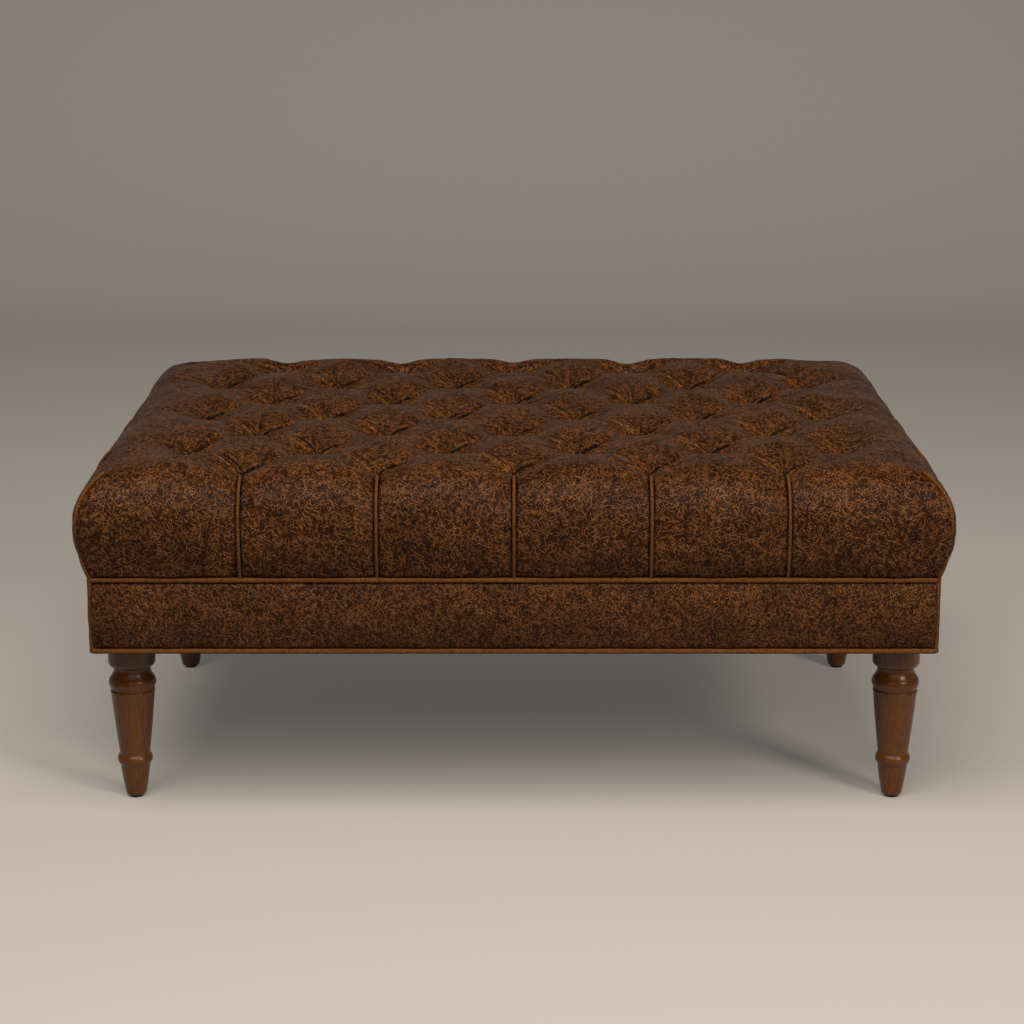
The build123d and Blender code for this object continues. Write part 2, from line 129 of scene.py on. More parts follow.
def newGeometryTree(name, sizes):
    # an empty Geometry Nodes tree with one geometry input and named sizes
    tree = bpy.data.node_groups.new(name, "GeometryNodeTree")
    tree.interface.new_socket("Geometry", in_out="INPUT", socket_type="NodeSocketGeometry")
    tree.interface.new_socket("Geometry", in_out="OUTPUT", socket_type="NodeSocketGeometry")
    for key, kind in sizes.items():
        tree.interface.new_socket(key, in_out="INPUT", socket_type="NodeSocket" + kind)
    return tree, addNode(tree, "NodeGroupInput").outputs


def finishGeometryTree(tree, geometry):
    real = addNode(tree, "GeometryNodeRealizeInstances", {"Geometry": geometry})
    addNode(tree, "NodeGroupOutput", {"Geometry": real})


def runTree(name, source, tree, values):
    # sets the inputs, evaluates the modifier and keeps the result as one plain mesh
    modifier = source.modifiers.new("build", "NODES")
    modifier.node_group = tree
    for item in tree.interface.items_tree:
        if item.in_out == "INPUT" and item.name in values:
            modifier[item.identifier] = values[item.name]
    graph = bpy.context.evaluated_depsgraph_get()
    mesh = bpy.data.meshes.new_from_object(source.evaluated_get(graph), depsgraph=graph)
    mesh.name = name
    source.modifiers.remove(modifier)
    bpy.data.objects.remove(source)
    return addObject(name, mesh)


def faceOutwards(piece):
    work = bmesh.new()
    work.from_mesh(piece.data)
    bmesh.ops.remove_doubles(work, verts=work.verts, dist=0.02 * mm)
    bmesh.ops.recalc_face_normals(work, faces=work.faces)
    work.to_mesh(piece.data)
    work.free()


def smoothStep(low, high, value):
    share = np.clip((value - low) / (high - low), 0, 1)
    return share * share * (3 - 2 * share)


def place(piece, slot, *nodes):
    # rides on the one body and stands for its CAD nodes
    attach(piece, "root")
    if nodes:
        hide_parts(*nodes)


class SoftNoise:
    # smooth repeatable noise: a sum of waves in random directions
    def __init__(self, seed, length, waves=24):
        random = np.random.default_rng(seed)
        angle = random.uniform(0, 2 * math.pi, waves)
        pitch = 2 * math.pi / (length * random.uniform(0.7, 1.6, waves))
        self.kx, self.ky = pitch * np.cos(angle), pitch * np.sin(angle)
        self.phase = random.uniform(0, 2 * math.pi, waves)
        self.level = math.sqrt(2 / waves)

    def at(self, x, y):
        total = np.zeros_like(x)
        for kx, ky, phase in zip(self.kx, self.ky, self.phase):
            total += np.sin(kx * x + ky * y + phase)
        return total * self.level


# Materials

leatherValues = {
    "dark": "#2c1507",
    "body": "#3c1f0b",
    "warm": "#4b280f",
    "vein": "#a3672f",
    # near black: the dark wax in the pits, and also the painted shade carried by the fold attribute
    "pit": "#070200",
    "patchLength": 60 * mm,     # broad patches between dark and body
    "warmLength": 13 * mm,
    "strokeSpacing": 2.2 * mm,
    "strokeStretch": 10.0,
    "strokeShare": 0.24,        # half width of a stroke as a share of the spacing
    "strokeAngles": [28, 74, -24, -63],
    "strokeTan": 0.8,           # how far a stroke turns to the vein's colour
    "wanderLength": 10 * mm,
    "wanderDepth": 4 * mm,
    "pitSpacing": 2.8 * mm,
    "pitDirt": 0.75,
    "wearAndHighlightTan": 0.5,
    "roughness": 0.43,
    "patchGloss": 0.06,
    "specular": 0.11,
    "strokeShine": 0.32,
    "bump": 0.5 * mm,
}


def agedLeather(name, veinShare=1.0, tan=0.0, fineness=1.0, cutFlat=True):
    # Distressed pull-up leather, drum dyed and waxed: the dark dye has cracked to tan along
    # short crossing creases, the grain is pitted, and the wax gives a broad soft shine
    v = leatherValues
    material, tree = newMaterial(name)
    # a panel's pattern lies flat on the hide, as it was before the leather was pulled over the padding
    if cutFlat:
        spot = addNode(tree, "ShaderNodeAttribute", attribute_name="flat").outputs["Vector"]
    else:
        spot = addNode(tree, "ShaderNodeTexCoord").outputs["Object"]
    wander = addNode(tree, "ShaderNodeTexNoise", {"Vector": spot, "Scale": 1 / v["wanderLength"], "Detail": 1.0})
    wander = addNode(tree, "ShaderNodeVectorMath", {0: wander.outputs["Color"], 1: (0.5,) * 3},
                     operation="SUBTRACT")
    wander = addNode(tree, "ShaderNodeVectorMath", {0: wander, "Scale": v["wanderDepth"]}, operation="SCALE")
    bent = addNode(tree, "ShaderNodeVectorMath", {0: spot, 1: wander}, operation="ADD")

    def cloud(length, detail, low, high, shift=0.0):
        # soft patches of about this length, 0 below low and 1 above high
        moved = addNode(tree, "ShaderNodeVectorMath", {0: spot, 1: (shift,) * 3}, operation="ADD")
        noise = addNode(tree, "ShaderNodeTexNoise", {"Vector": moved, "Scale": 1 / length, "Detail": detail})
        return addNode(tree, "ShaderNodeMapRange", {"Value": noise, "From Min": low, "From Max": high},
                       interpolation_type="SMOOTHSTEP")

    def strokes(angle):
        # short thin lines along one direction: the middles of cells drawn out that way
        moved = addNode(tree, "ShaderNodeMapping", {
            "Vector": bent, "Location": (angle, 0, angle), "Rotation": (0, 0, math.radians(angle)),
            "Scale": (v["strokeStretch"], 1, 1)}, vector_type="TEXTURE")
        cells = addNode(tree, "ShaderNodeTexVoronoi", {"Vector": moved, "Scale": fineness / v["strokeSpacing"]})
        return addNode(tree, "ShaderNodeMapRange", {
            "Value": cells, "From Min": 0.4 * v["strokeShare"], "From Max": 1.6 * v["strokeShare"],
            "To Min": 1.0, "To Max": 0.0}, interpolation_type="SMOOTHSTEP")

    patches = cloud(v["patchLength"], 3.0, 0.36, 0.66)
    warmth = cloud(v["warmLength"], 4.0, 0.45, 0.75, 3.0)
    vein = strokes(v["strokeAngles"][0])
    for angle in v["strokeAngles"][1:]:
        vein = addNode(tree, "ShaderNodeMath", {0: vein, 1: strokes(angle)}, operation="MAXIMUM")
    worn = addNode(tree, "ShaderNodeMath", {0: patches, 1: 0.3, 2: 0.7}, operation="MULTIPLY_ADD")
    vein = addNode(tree, "ShaderNodeMath", {0: vein, 1: worn}, operation="MULTIPLY")
    dots = addNode(tree, "ShaderNodeTexVoronoi", {"Vector": spot, "Scale": fineness / v["pitSpacing"]})
    pit = addNode(tree, "ShaderNodeMapRange", {
        "Value": dots, "From Min": 0.25, "From Max": 0.5, "To Min": 1.0, "To Max": 0.0},
        interpolation_type="SMOOTHSTEP")
    clear = addNode(tree, "ShaderNodeMath", {0: 1.0, 1: vein}, operation="SUBTRACT")
    pit = addNode(tree, "ShaderNodeMath", {0: pit, 1: clear}, operation="MULTIPLY")

    # cracks show tan where the leather is rubbed and along painted highlights on fold lips; pits hold dark wax,
    # and the fold attribute adds painted shade in creases, beside seams, at the cushion's foot and at the apron's
    # edges
    wearAndHighlight = addNode(tree, "ShaderNodeAttribute", attribute_name="wearAndHighlight").outputs["Fac"]
    veinAmount = addNode(tree, "ShaderNodeMath", {0: wearAndHighlight, 1: v["wearAndHighlightTan"], 2: tan}, operation="MULTIPLY_ADD")
    veinAmount = addNode(tree, "ShaderNodeMath", {0: vein, 1: v["strokeTan"] * veinShare, 2: veinAmount},
                         operation="MULTIPLY_ADD", use_clamp=True)
    # fold: painted shade, mixed towards the pit colour together with the pits' real dirt
    fold = addNode(tree, "ShaderNodeAttribute", attribute_name="fold").outputs["Fac"]
    dirtAndShade = addNode(tree, "ShaderNodeMath", {0: pit, 1: v["pitDirt"], 2: fold}, operation="MULTIPLY_ADD",
                   use_clamp=True)
    color = linearColor(v["dark"])
    for factor, shade in ((patches, "body"), (warmth, "warm"), (veinAmount, "vein"), (dirtAndShade, "pit")):
        color = addNode(tree, "ShaderNodeMix", {"Factor": factor, "A": color, "B": linearColor(v[shade])},
                        data_type="RGBA")
    height = addNode(tree, "ShaderNodeMath", {0: pit, 1: -1.2, 2: vein}, operation="MULTIPLY_ADD")
    bump = addNode(tree, "ShaderNodeBump", {"Strength": 0.8, "Distance": v["bump"], "Height": height})
    gloss = addNode(tree, "ShaderNodeMath", {0: patches, 1: -v["patchGloss"], 2: v["roughness"]},
                    operation="MULTIPLY_ADD")
    shine = addNode(tree, "ShaderNodeMath", {0: vein, 1: v["strokeShine"], 2: v["specular"]},
                    operation="MULTIPLY_ADD")
    shader = addNode(tree, "ShaderNodeBsdfPrincipled", {
        "Base Color": color, "Roughness": gloss, "Normal": bump, "Specular IOR Level": shine})
    addNode(tree, "ShaderNodeOutputMaterial", {"Surface": shader})
    return material


woodValues = {
    "dark": "#4a270c",
    "body": "#6e3e15",
    "light": "#83501d",
    "grain": 2.0 * mm,
    "pore": 0.9 * mm,
    "broad": 16 * mm,
    "length": 0.07,         # how much finer the grain is across than along the leg
    "roughness": 0.3,
    "specular": 0.45,
}


def stainedWood(name):
    # Rubberwood turned on a lathe, brown wiping stain under satin lacquer: long grain with
    # dark pores, and darker where the stain gathered
    v = woodValues
    material, tree = newMaterial(name)
    spot = addNode(tree, "ShaderNodeTexCoord").outputs["Object"]
    along = addNode(tree, "ShaderNodeMapping", {"Vector": spot, "Scale": (1, 1, v["length"])})
    grain = addNode(tree, "ShaderNodeTexNoise", {"Vector": along, "Scale": 1 / v["grain"], "Detail": 4.0})
    broad = addNode(tree, "ShaderNodeTexNoise", {"Vector": along, "Scale": 1 / v["broad"], "Detail": 2.0})
    pores = addNode(tree, "ShaderNodeTexNoise", {"Vector": along, "Scale": 1 / v["pore"], "Detail": 1.0})
    color = addNode(tree, "ShaderNodeValToRGB", {"Fac": grain},
                    stops=[(0.30, v["dark"]), (0.74, v["light"]), (0.50, v["body"])])
    stain = addNode(tree, "ShaderNodeMapRange", {
        "Value": broad, "From Min": 0.35, "From Max": 0.65, "To Max": 0.5})
    pore = addNode(tree, "ShaderNodeMapRange", {
        "Value": pores, "From Min": 0.36, "From Max": 0.46, "To Min": 0.2, "To Max": 0.0})
    # the fold attribute is painted shade; the legs carry none, so only the pores darken the wood here
    fold = addNode(tree, "ShaderNodeAttribute", attribute_name="fold").outputs["Fac"]
    dirtAndShade = addNode(tree, "ShaderNodeMath", {0: pore, 1: fold}, operation="ADD", use_clamp=True)
    for factor, shade in ((stain, "light"), (dirtAndShade, "dark")):
        color = addNode(tree, "ShaderNodeMix", {"Factor": factor, "A": color, "B": linearColor(v[shade])},
                        data_type="RGBA")
    bump = addNode(tree, "ShaderNodeBump", {"Strength": 0.2, "Distance": 0.2 * mm, "Height": grain})
    shader = addNode(tree, "ShaderNodeBsdfPrincipled", {
        "Base Color": color, "Roughness": v["roughness"], "Specular IOR Level": v["specular"], "Normal": bump})
    addNode(tree, "ShaderNodeOutputMaterial", {"Surface": shader})
    return material


def plainWood(name, darkHex, lightHex, grainLength, direction):
    # Planed softwood or rotary-cut veneer, unfinished: pale, with slow bands of darker growth
    material, tree = newMaterial(name)
    spot = addNode(tree, "ShaderNodeTexCoord").outputs["Object"]
    along = addNode(tree, "ShaderNodeMapping", {"Vector": spot, "Scale": direction})
    grain = addNode(tree, "ShaderNodeTexNoise", {
        "Vector": along, "Scale": 1 / grainLength, "Detail": 5.0, "Distortion": 0.6})
    color = addNode(tree, "ShaderNodeValToRGB", {"Fac": grain}, stops=[(0.35, darkHex), (0.65, lightHex)])
    bump = addNode(tree, "ShaderNodeBump", {"Strength": 0.15, "Distance": 0.3 * mm, "Height": grain})
    shader = addNode(tree, "ShaderNodeBsdfPrincipled", {"Base Color": color, "Roughness": 0.7, "Normal": bump})
    addNode(tree, "ShaderNodeOutputMaterial", {"Surface": shader})
    return material


def upholsteryFoam(name):
    # Open-cell polyurethane foam: cream, matt, with pinprick cells
    material, tree = newMaterial(name)
    spot = addNode(tree, "ShaderNodeTexCoord").outputs["Object"]
    cells = addNode(tree, "ShaderNodeTexVoronoi", {"Vector": spot, "Scale": 1 / (1.5 * mm)})
    color = addNode(tree, "ShaderNodeValToRGB", {"Fac": cells}, stops=[(0.2, "#b9a878"), (0.7, "#e0d5ae")])
    bump = addNode(tree, "ShaderNodeBump", {"Strength": 0.4, "Distance": 0.5 * mm, "Height": cells})
    shader = addNode(tree, "ShaderNodeBsdfPrincipled", {"Base Color": color, "Roughness": 0.95, "Normal": bump})
    addNode(tree, "ShaderNodeOutputMaterial", {"Surface": shader})
    return material


def spunDustCloth(name):
    # Black spun-bonded polypropylene cambric: a faint grid of weld points, matt
    material, tree = newMaterial(name)
    spot = addNode(tree, "ShaderNodeTexCoord").outputs["Object"]
    turned = addNode(tree, "ShaderNodeMapping", {"Vector": spot, "Rotation": (0, 0, math.radians(45))})
    welds = addNode(tree, "ShaderNodeTexVoronoi", {"Vector": turned, "Scale": 1 / (3 * mm), "Randomness": 0.1})
    fibre = addNode(tree, "ShaderNodeTexNoise", {"Vector": spot, "Scale": 1 / (1.6 * mm), "Detail": 3.0})
    color = addNode(tree, "ShaderNodeValToRGB", {"Fac": fibre}, stops=[(0.35, "#0c0c0d"), (0.7, "#242425")])
    bump = addNode(tree, "ShaderNodeBump", {"Strength": 0.4, "Distance": 0.25 * mm, "Height": welds})
    shader = addNode(tree, "ShaderNodeBsdfPrincipled", {
        "Base Color": color, "Roughness": 0.85, "Sheen Weight": 0.2, "Normal": bump})
    addNode(tree, "ShaderNodeOutputMaterial", {"Surface": shader})
    return material


def speckled(name, darkHex, lightHex, spotLength, roughness, metallic=0.0):
    # Zinc plate, fibre washers, twine and moulded glides: one colour with fine speckle and wear
    material, tree = newMaterial(name)
    spot = addNode(tree, "ShaderNodeTexCoord").outputs["Object"]
    noise = addNode(tree, "ShaderNodeTexNoise", {"Vector": spot, "Scale": 1 / spotLength, "Detail": 4.0})
    color = addNode(tree, "ShaderNodeValToRGB", {"Fac": noise}, stops=[(0.35, darkHex), (0.65, lightHex)])
    rough = addNode(tree, "ShaderNodeMapRange", {
        "Value": noise, "To Min": roughness + 0.1, "To Max": roughness - 0.1})
    bump = addNode(tree, "ShaderNodeBump", {"Strength": 0.3, "Distance": 0.05 * mm, "Height": noise})
    shader = addNode(tree, "ShaderNodeBsdfPrincipled", {
        "Base Color": color, "Metallic": metallic, "Roughness": rough, "Normal": bump})
    addNode(tree, "ShaderNodeOutputMaterial", {"Surface": shader})
    return material


leather = agedLeather("waxedPullUpLeather")
apronLeather = agedLeather("waxedLeatherOnApron", fineness=1.35)
pipingLeather = agedLeather("leatherOverPiping", 0.6, 0.42, 1.5, cutFlat=False)
turnedWood = stainedWood("stainedRubberwood")
dustCloth = spunDustCloth("spunPolypropyleneCambric")
zincSteel = speckled("zincPlatedSteel", "#8f9194", "#b4b6b8", 6 * mm, 0.35, 1.0)
nodeMaterials = {
    "frame_wood": plainWood("planedPine", "#b98f5c", "#dcbc8a", 9 * mm, (0.12, 1, 1)),
    "plywood": plainWood("birchPlywood", "#b89468", "#d8bb8f", 14 * mm, (0.15, 1, 3)),
    "foam": upholsteryFoam("polyurethaneFoam"),
    "twine": speckled("flaxTwine", "#8d7a55", "#b39f78", 0.8 * mm, 0.85),
    "washer_fibre": speckled("vulcanisedFibre", "#141414", "#242322", 1.5 * mm, 0.7),
    "zinc_steel": zincSteel,
    "glide_plastic": speckled("mouldedNylon", "#0b0908", "#1a1614", 1.2 * mm, 0.5),
}
for part in frame["record"]["subparts"]:
    if part["material_slot"] in nodeMaterials:
        slots = frame["nodes"][part["node"]].data.materials
        slots.clear()
        slots.append(nodeMaterials[part["material_slot"]])
print("materials made:", len(bpy.data.materials))


# The cushion cover: a rounded box whose top is gathered to seven rows of blind tufts

cushionLow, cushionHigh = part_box("tufted_cushion")
tiesLow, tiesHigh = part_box("tuft_ties")
cushionValues = {
    "tuftRows": 7,
    "oddRowTufts": 5,
    "rollRadius": 75 * mm,
    "footInset": 18 * mm,
    "footPower": 2.6,           # how late the side turns in
    "cornerRadius": 19 * mm,
    "topCornerRadius": 9 * mm,
    "cornerFall": 5 * mm,
    "tuftDepth": 28 * mm,
    "valleyShare": 0.5,         # how far a pleat rises between two tufts, as a share of the depth
    "pillowPower": 0.5,         # lower is fuller; 0.5 is a round arch
    "archPower": 0.7,
    "dimplePower": 0.66,
    "backRise": 8 * mm,
    "frontFall": 3 * mm,
    "seamShadeStarts": [14 * mm, 32 * mm, 112 * mm],    # front, back, sides
    "seamShadeReach": 5.3 * mm,
    "footShadeReach": 3 * mm,
    "faceReach": 26 * mm,       # how far a seam's pinch reaches across the face
    "facePower": 1.5,
    "fineStep": 1.1 * mm,
    "broadStep": 4.6 * mm,
    "quickCoarseness": 2.2,
    "fineReach": 28 * mm,
    "tuckBow": 6 * mm,
    "tuckLength": 100 * mm,
    "tuckSoftness": 1.5 * mm,
    "tuckFront": [-42 * mm, -24 * mm],      # where the fold rises, before its pleat
    "tuckCliff": 0.7 * mm,                  # how sharply it ends at its rear
    "shadeLine": [1.2 * mm, 2.0 * mm],        # painted shadow line: height over the fold's edge, half width
    # painted highlight line: height over the fold's edge, half width
    "litLine": [4.6 * mm, 1.3 * mm],
    "foldStep": 3.8 * mm,
    "foldWidth": 1.9 * mm,
    "foldFade": 13 * mm,
    # creases behind a left pleat, behind a right pleat and before a left pleat: bow, strength, share of its length
    "creases": [[(24 * mm, 0.3, 0.5)], [(7 * mm, 0.6, 0.4), (12 * mm, 0.4, 0.34)], [(7 * mm, 1.2, 0.6)]],
    "gatherHeight": 1.0 * mm,
    "sideCreasesPerRadian": 3.4,
    "sideCreaseWidth": 1.5 * mm,
    "sideCreaseDepth": 1.2 * mm,
    "stuffing": [(90 * mm, 0.8 * mm), (24 * mm, 0.25 * mm)],    # length and height of its unevenness
    "seed": 7,
}
cv = cushionValues
halfX = (cushionHigh.x - cushionLow.x) / 2 - 0.5 * mm
halfY = (cushionHigh.y - cushionLow.y) / 2
topZ, footZ = cushionHigh.z, cushionLow.z
tieRadius = 1.5 * mm
lastX = tiesHigh.x - tieRadius
lastY = tiesHigh.y - tieRadius * math.cos(math.pi / 6)
stepX = 2 * lastX / cv["oddRowTufts"]
stepY = 2 * lastY / (cv["tuftRows"] - 1)
cellWidth = 1 / math.hypot(1 / stepX, 1 / (2 * stepY))
flatX = halfX - cv["rollRadius"] - lastX        # flat rim between the outer tufts and the roll
flatY = halfY - cv["rollRadius"] - lastY

# depth of each gathered line against the distance run from its tuft, out over the roll to the foot
frontLine = ([0, 8, 20, 40, 70, 128, 215], [28, 26, 24, 21, 17, 11, 3])
backLine = ([0, 8, 20, 40, 70, 128, 215], [28, 16, 9, 6, 6.5, 6.5, 3])
sideLine = ([0, 10, 25, 50, 90, 160, 265], [28, 22, 14, 7, 3, 2, 1.5])
# height of the tucked fold on a tuft's left, against the distance along the pleat
tuckLine = ([0, 2, 10, 24, 43, 66, 100], [0, 5, 10, 16, 20, 20.5, 14])


def lineDepth(line, run):
    return np.interp(run / mm, *line) * mm


def cellNodes(fineStep, broadStep):
    # places 0 to 1 across a diamond, close together near its pleats
    half = np.linspace(0, 0.5, 400)
    away = smoothStep(cv["fineReach"], 2 * cv["fineReach"], half * cellWidth)
    spacing = fineStep + (broadStep - fineStep) * away
    density = 1 / spacing
    count = np.concatenate([[0], np.cumsum((density[1:] + density[:-1]) / 2 * np.diff(half) * cellWidth)])
    number = max(4, round(count[-1]))
    left = np.interp(np.linspace(0, count[-1], number + 1), count, half)
    return np.concatenate([left, 1 - left[-2::-1]])


def ringProfile(fineStep, broadStep):
    # rings from the outer tuft lines out over the roll and down to the foot:
    # offset along x, offset along y, height, corner radius, distance run
    roll = cv["rollRadius"]
    drop = topZ - roll - footZ
    rings = [(0, 0, topZ, 0, 0)]
    flatCount = max(4, round(flatY / fineStep))
    for share in np.linspace(0, 1, flatCount + 1)[1:]:
        rings.append((flatX * share, flatY * share, topZ, cv["topCornerRadius"] * share, flatY * share))
    rollCount = round(roll * math.pi / 2 / broadStep * 1.3)
    for share in np.linspace(0, 1, rollCount + 1)[1:]:
        angle = math.pi / 2 * share ** 1.2
        out = roll * math.sin(angle)
        radius = cv["topCornerRadius"] + (cv["cornerRadius"] - cv["topCornerRadius"]) * math.sin(angle)
        height = topZ - roll + roll * math.cos(angle)
        rings.append((flatX + out, flatY + out, height, radius, flatY + roll * angle))
    for share in np.linspace(0, 1, round(drop / broadStep) + 1)[1:]:
        back = cv["footInset"] * share ** cv["footPower"]
        rings.append((flatX + roll - back, flatY + roll - back, topZ - roll - drop * share,
                      cv["cornerRadius"] - back, flatY + roll * math.pi / 2 + drop * share))
    return np.array(rings)


class CoverMesh:
    # collects points with what the pattern needs to know of them, and the faces between them
    def __init__(self):
        self.points, self.facts, self.faces, self.count = [], [], [], 0

    def addGrid(self, points, facts, flip=False):
        rows, columns = points.shape[:2]
        quads = gridQuads(np.arange(rows * columns).reshape(rows, columns) + self.count)
        if flip:
            quads = quads[:, ::-1]
        self.points.append(points.reshape(-1, 3))
        self.facts.append(facts.reshape(-1, facts.shape[-1]))
        self.faces += [tuple(q) for q in quads.tolist()]
        self.count += rows * columns


def coverGrid(fineStep, broadStep):
    nodes = cellNodes(fineStep, broadStep)
    n = len(nodes) - 1
    columns, rows = cv["oddRowTufts"], (cv["tuftRows"] - 1) // 2

    def spread(index):
        return index // n + nodes[index % n]

    cover = CoverMesh()
    # top: a grid along the two pleat directions, cut off at the outer tuft lines
    acrossIndex = np.arange(-n // 2, columns * n + rows * n - n // 2 + 1)
    backIndex = np.arange(-rows * n - n // 2, columns * n - n // 2 + 1)
    I, J = np.meshgrid(acrossIndex, backIndex, indexing="ij")
    inside = (I >= J) & (I - J <= 2 * rows * n) & (I + J >= -n) & (I + J <= (2 * columns - 1) * n)
    number = np.full(I.shape, -1)
    number[inside] = np.arange(inside.sum())
    alpha, beta = spread(I[inside]), spread(J[inside])
    x = (alpha + beta + 1) / 2 * stepX - lastX
    y = (alpha - beta) * stepY - lastY
    zero = np.zeros_like(x)
    cover.points.append(np.stack([x, y, zero + topZ], -1))
    cover.facts.append(np.stack([alpha, beta, zero, zero, x, y], -1))
    cover.count = len(x)
    stacked = gridQuads(number)
    present = (stacked >= 0).sum(1)
    cover.faces += [tuple(q) for q in stacked[present == 4][:, ::-1].tolist()]
    for quad in stacked[present == 3][:, ::-1].tolist():
        cover.faces.append(tuple(c for c in quad if c >= 0))
    # borders at the front and back, then at the sides
    offX, offY, height, radius, run = ringProfile(fineStep, broadStep).T
    sideRun = np.where(run < flatY, offX, run + flatX - flatY)
    a = spread(np.arange(-n // 2, columns * n - n // 2 + 1))
    b = spread(np.arange(-n // 2, rows * n - n // 2 + 1)) + 0.5
    for sign in (-1, 1):
        X, offset = np.meshgrid((a + 0.5) * stepX - lastX, offY, indexing="ij")
        A, S = np.meshgrid(a, run, indexing="ij")
        Y = sign * (lastY + offset)
        facts = np.stack([A, A, S, np.full_like(S, 1.5 + 0.5 * sign), X, Y], -1)     # 1 front, 2 back
        cover.addGrid(np.stack([X, Y, np.broadcast_to(height, X.shape)], -1), facts, flip=sign < 0)
        Y, offset = np.meshgrid(b * 2 * stepY - lastY, offX, indexing="ij")
        B, S = np.meshgrid(b, sideRun, indexing="ij")
        X = sign * (lastX + offset)
        facts = np.stack([B - 0.5, B - 0.5, S, np.full_like(S, 3), X, Y], -1)
        cover.addGrid(np.stack([X, Y, np.broadcast_to(height, X.shape)], -1), facts, flip=sign > 0)
    # corners: square patches whose rings bend round the corner
    k = len(run)
    P, Q = np.meshgrid(np.arange(k), np.arange(k), indexing="ij")
    ring = np.maximum(P, Q)
    safe = np.maximum(ring, 1)
    share = np.where(Q <= P, 0.5 * Q / safe, 1 - 0.5 * P / safe)
    arcX, arcY, arcR = offX[ring], offY[ring], np.minimum(radius, np.minimum(offX, offY))[ring]
    firstRun, bend, lastRun = arcY - arcR, arcR * math.pi / 2, arcX - arcR
    way = share * (firstRun + bend + lastRun)
    angle = np.clip((way - firstRun) / np.maximum(arcR, 1e-9), 0, math.pi / 2)
    px = arcX - arcR + arcR * np.cos(angle) - np.clip(way - firstRun - bend, 0, None)
    py = np.minimum(way, firstRun) + arcR * np.sin(angle)
    for sx in (-1, 1):
        for sy in (-1, 1):
            X, Y = sx * (lastX + px), sy * (lastY + py)
            facts = np.stack([X * 0, X * 0, run[ring], X * 0 + 4, X, Y], -1)
            cover.addGrid(np.stack([X, Y, height[ring]], -1), facts, flip=sx * sy < 0)
    return cover


def weld(points, facts, faces):
    # joins points that lie in the same place
    key = np.round(points / (0.01 * mm)).astype(np.int64)
    _, first, back = np.unique(key, axis=0, return_index=True, return_inverse=True)
    back = back.reshape(-1).tolist()
    joined = []
    for face in faces:
        ids = [back[i] for i in face]
        ids = [i for j, i in enumerate(ids) if i != ids[j - 1]]
        if len(ids) > 2:
            joined.append(tuple(ids))
    return points[first], facts[first], joined


def pointNormals(points, faces):
    normals = np.zeros_like(points)
    for size in (3, 4):
        group = np.array([f for f in faces if len(f) == size]).reshape(-1, size)
        cross = np.cross(points[group[:, 2]] - points[group[:, 0]], points[group[:, -1]] - points[group[:, 1]])
        for corner in range(size):
            np.add.at(normals, group[:, corner], cross)
    return normals / np.maximum(np.linalg.norm(normals, axis=1, keepdims=True), 1e-12)


def pillow(share, power):
    # an arch over 0 to 1, just rounded where it meets its pleats
    rise, soft = np.clip(4 * share * (1 - share), 0, 1), 0.03
    return ((rise + soft) ** power - soft ** power) / ((1 + soft) ** power - soft ** power)


randomPicks = np.random.default_rng(cv["seed"]).uniform(0, 1, (4096, 4))


def picksAt(number):
    # four random numbers that stay with one tuft, pleat or crease
    return randomPicks[number.astype(int) % len(randomPicks)]


def fromTuft(alpha, beta):
    # how far a point lies from its nearest tuft, along x and along y
    m, q = alpha - np.round(alpha), beta - np.round(beta)
    return (m + q) / 2 * stepX, (m - q) * stepY


def pleatFolds(a, b, alpha, beta, top):
    # each diamond's leather laps over the pleats beside its front tuft, in creases that fade as they leave it;
    # their dark lines are painted shade and the light line along each lip is a painted highlight
    lift, dark, wearAndHighlight = np.zeros_like(a), np.zeros_like(a), np.zeros_like(a)
    sides = ((a, 1 - b, np.floor(alpha), np.floor(beta)), (1 - b, a, np.floor(beta), np.floor(alpha)),
             (1 - a, 1 - b, np.ceil(alpha), np.floor(beta)))
    for side, (near, along, line, spot) in enumerate(sides):
        for number, (widest, strength, length) in enumerate(cv["creases"][side]):
            pick = picksAt(line * 67 + spot * 13 + side * 541 + number * 191)
            way = np.clip(along / (length * (0.9 + 0.2 * pick[:, 1])), 0, 1)
            bow = widest * (0.85 + 0.3 * pick[:, 0]) * np.sin(math.pi * way ** 0.6)
            amount = smoothStep(0.0, 0.12, way) * smoothStep(1.0, 0.7, way) * strength * (0.7 + 0.5 * pick[:, 2])
            amount = np.where(top, amount, 0)
            past = near * cellWidth - bow
            width = cv["foldWidth"] * (0.5 + 0.5 * np.clip(amount, 0, 1))
            step = 1 / (1 + np.exp(-np.clip(past / (0.4 * width), -30, 30)))
            lip = step * np.exp(-np.clip(past, 0, None) / cv["foldFade"])
            groove = np.exp(-((past + 0.6 * width) / width) ** 2)
            lift += cv["foldStep"] * amount * (0.6 * lip - 0.6 * groove)
            shade = np.exp(-((past + 0.3 * width) / width) ** 4)
            dark = np.maximum(dark, shade * smoothStep(0.1, 0.55, amount))
            # painted highlight along the lip
            wearAndHighlight = np.maximum(wearAndHighlight, np.exp(-((past - 1.8 * width) / width) ** 2) * smoothStep(0.2, 0.9, amount))
    return lift, dark, wearAndHighlight


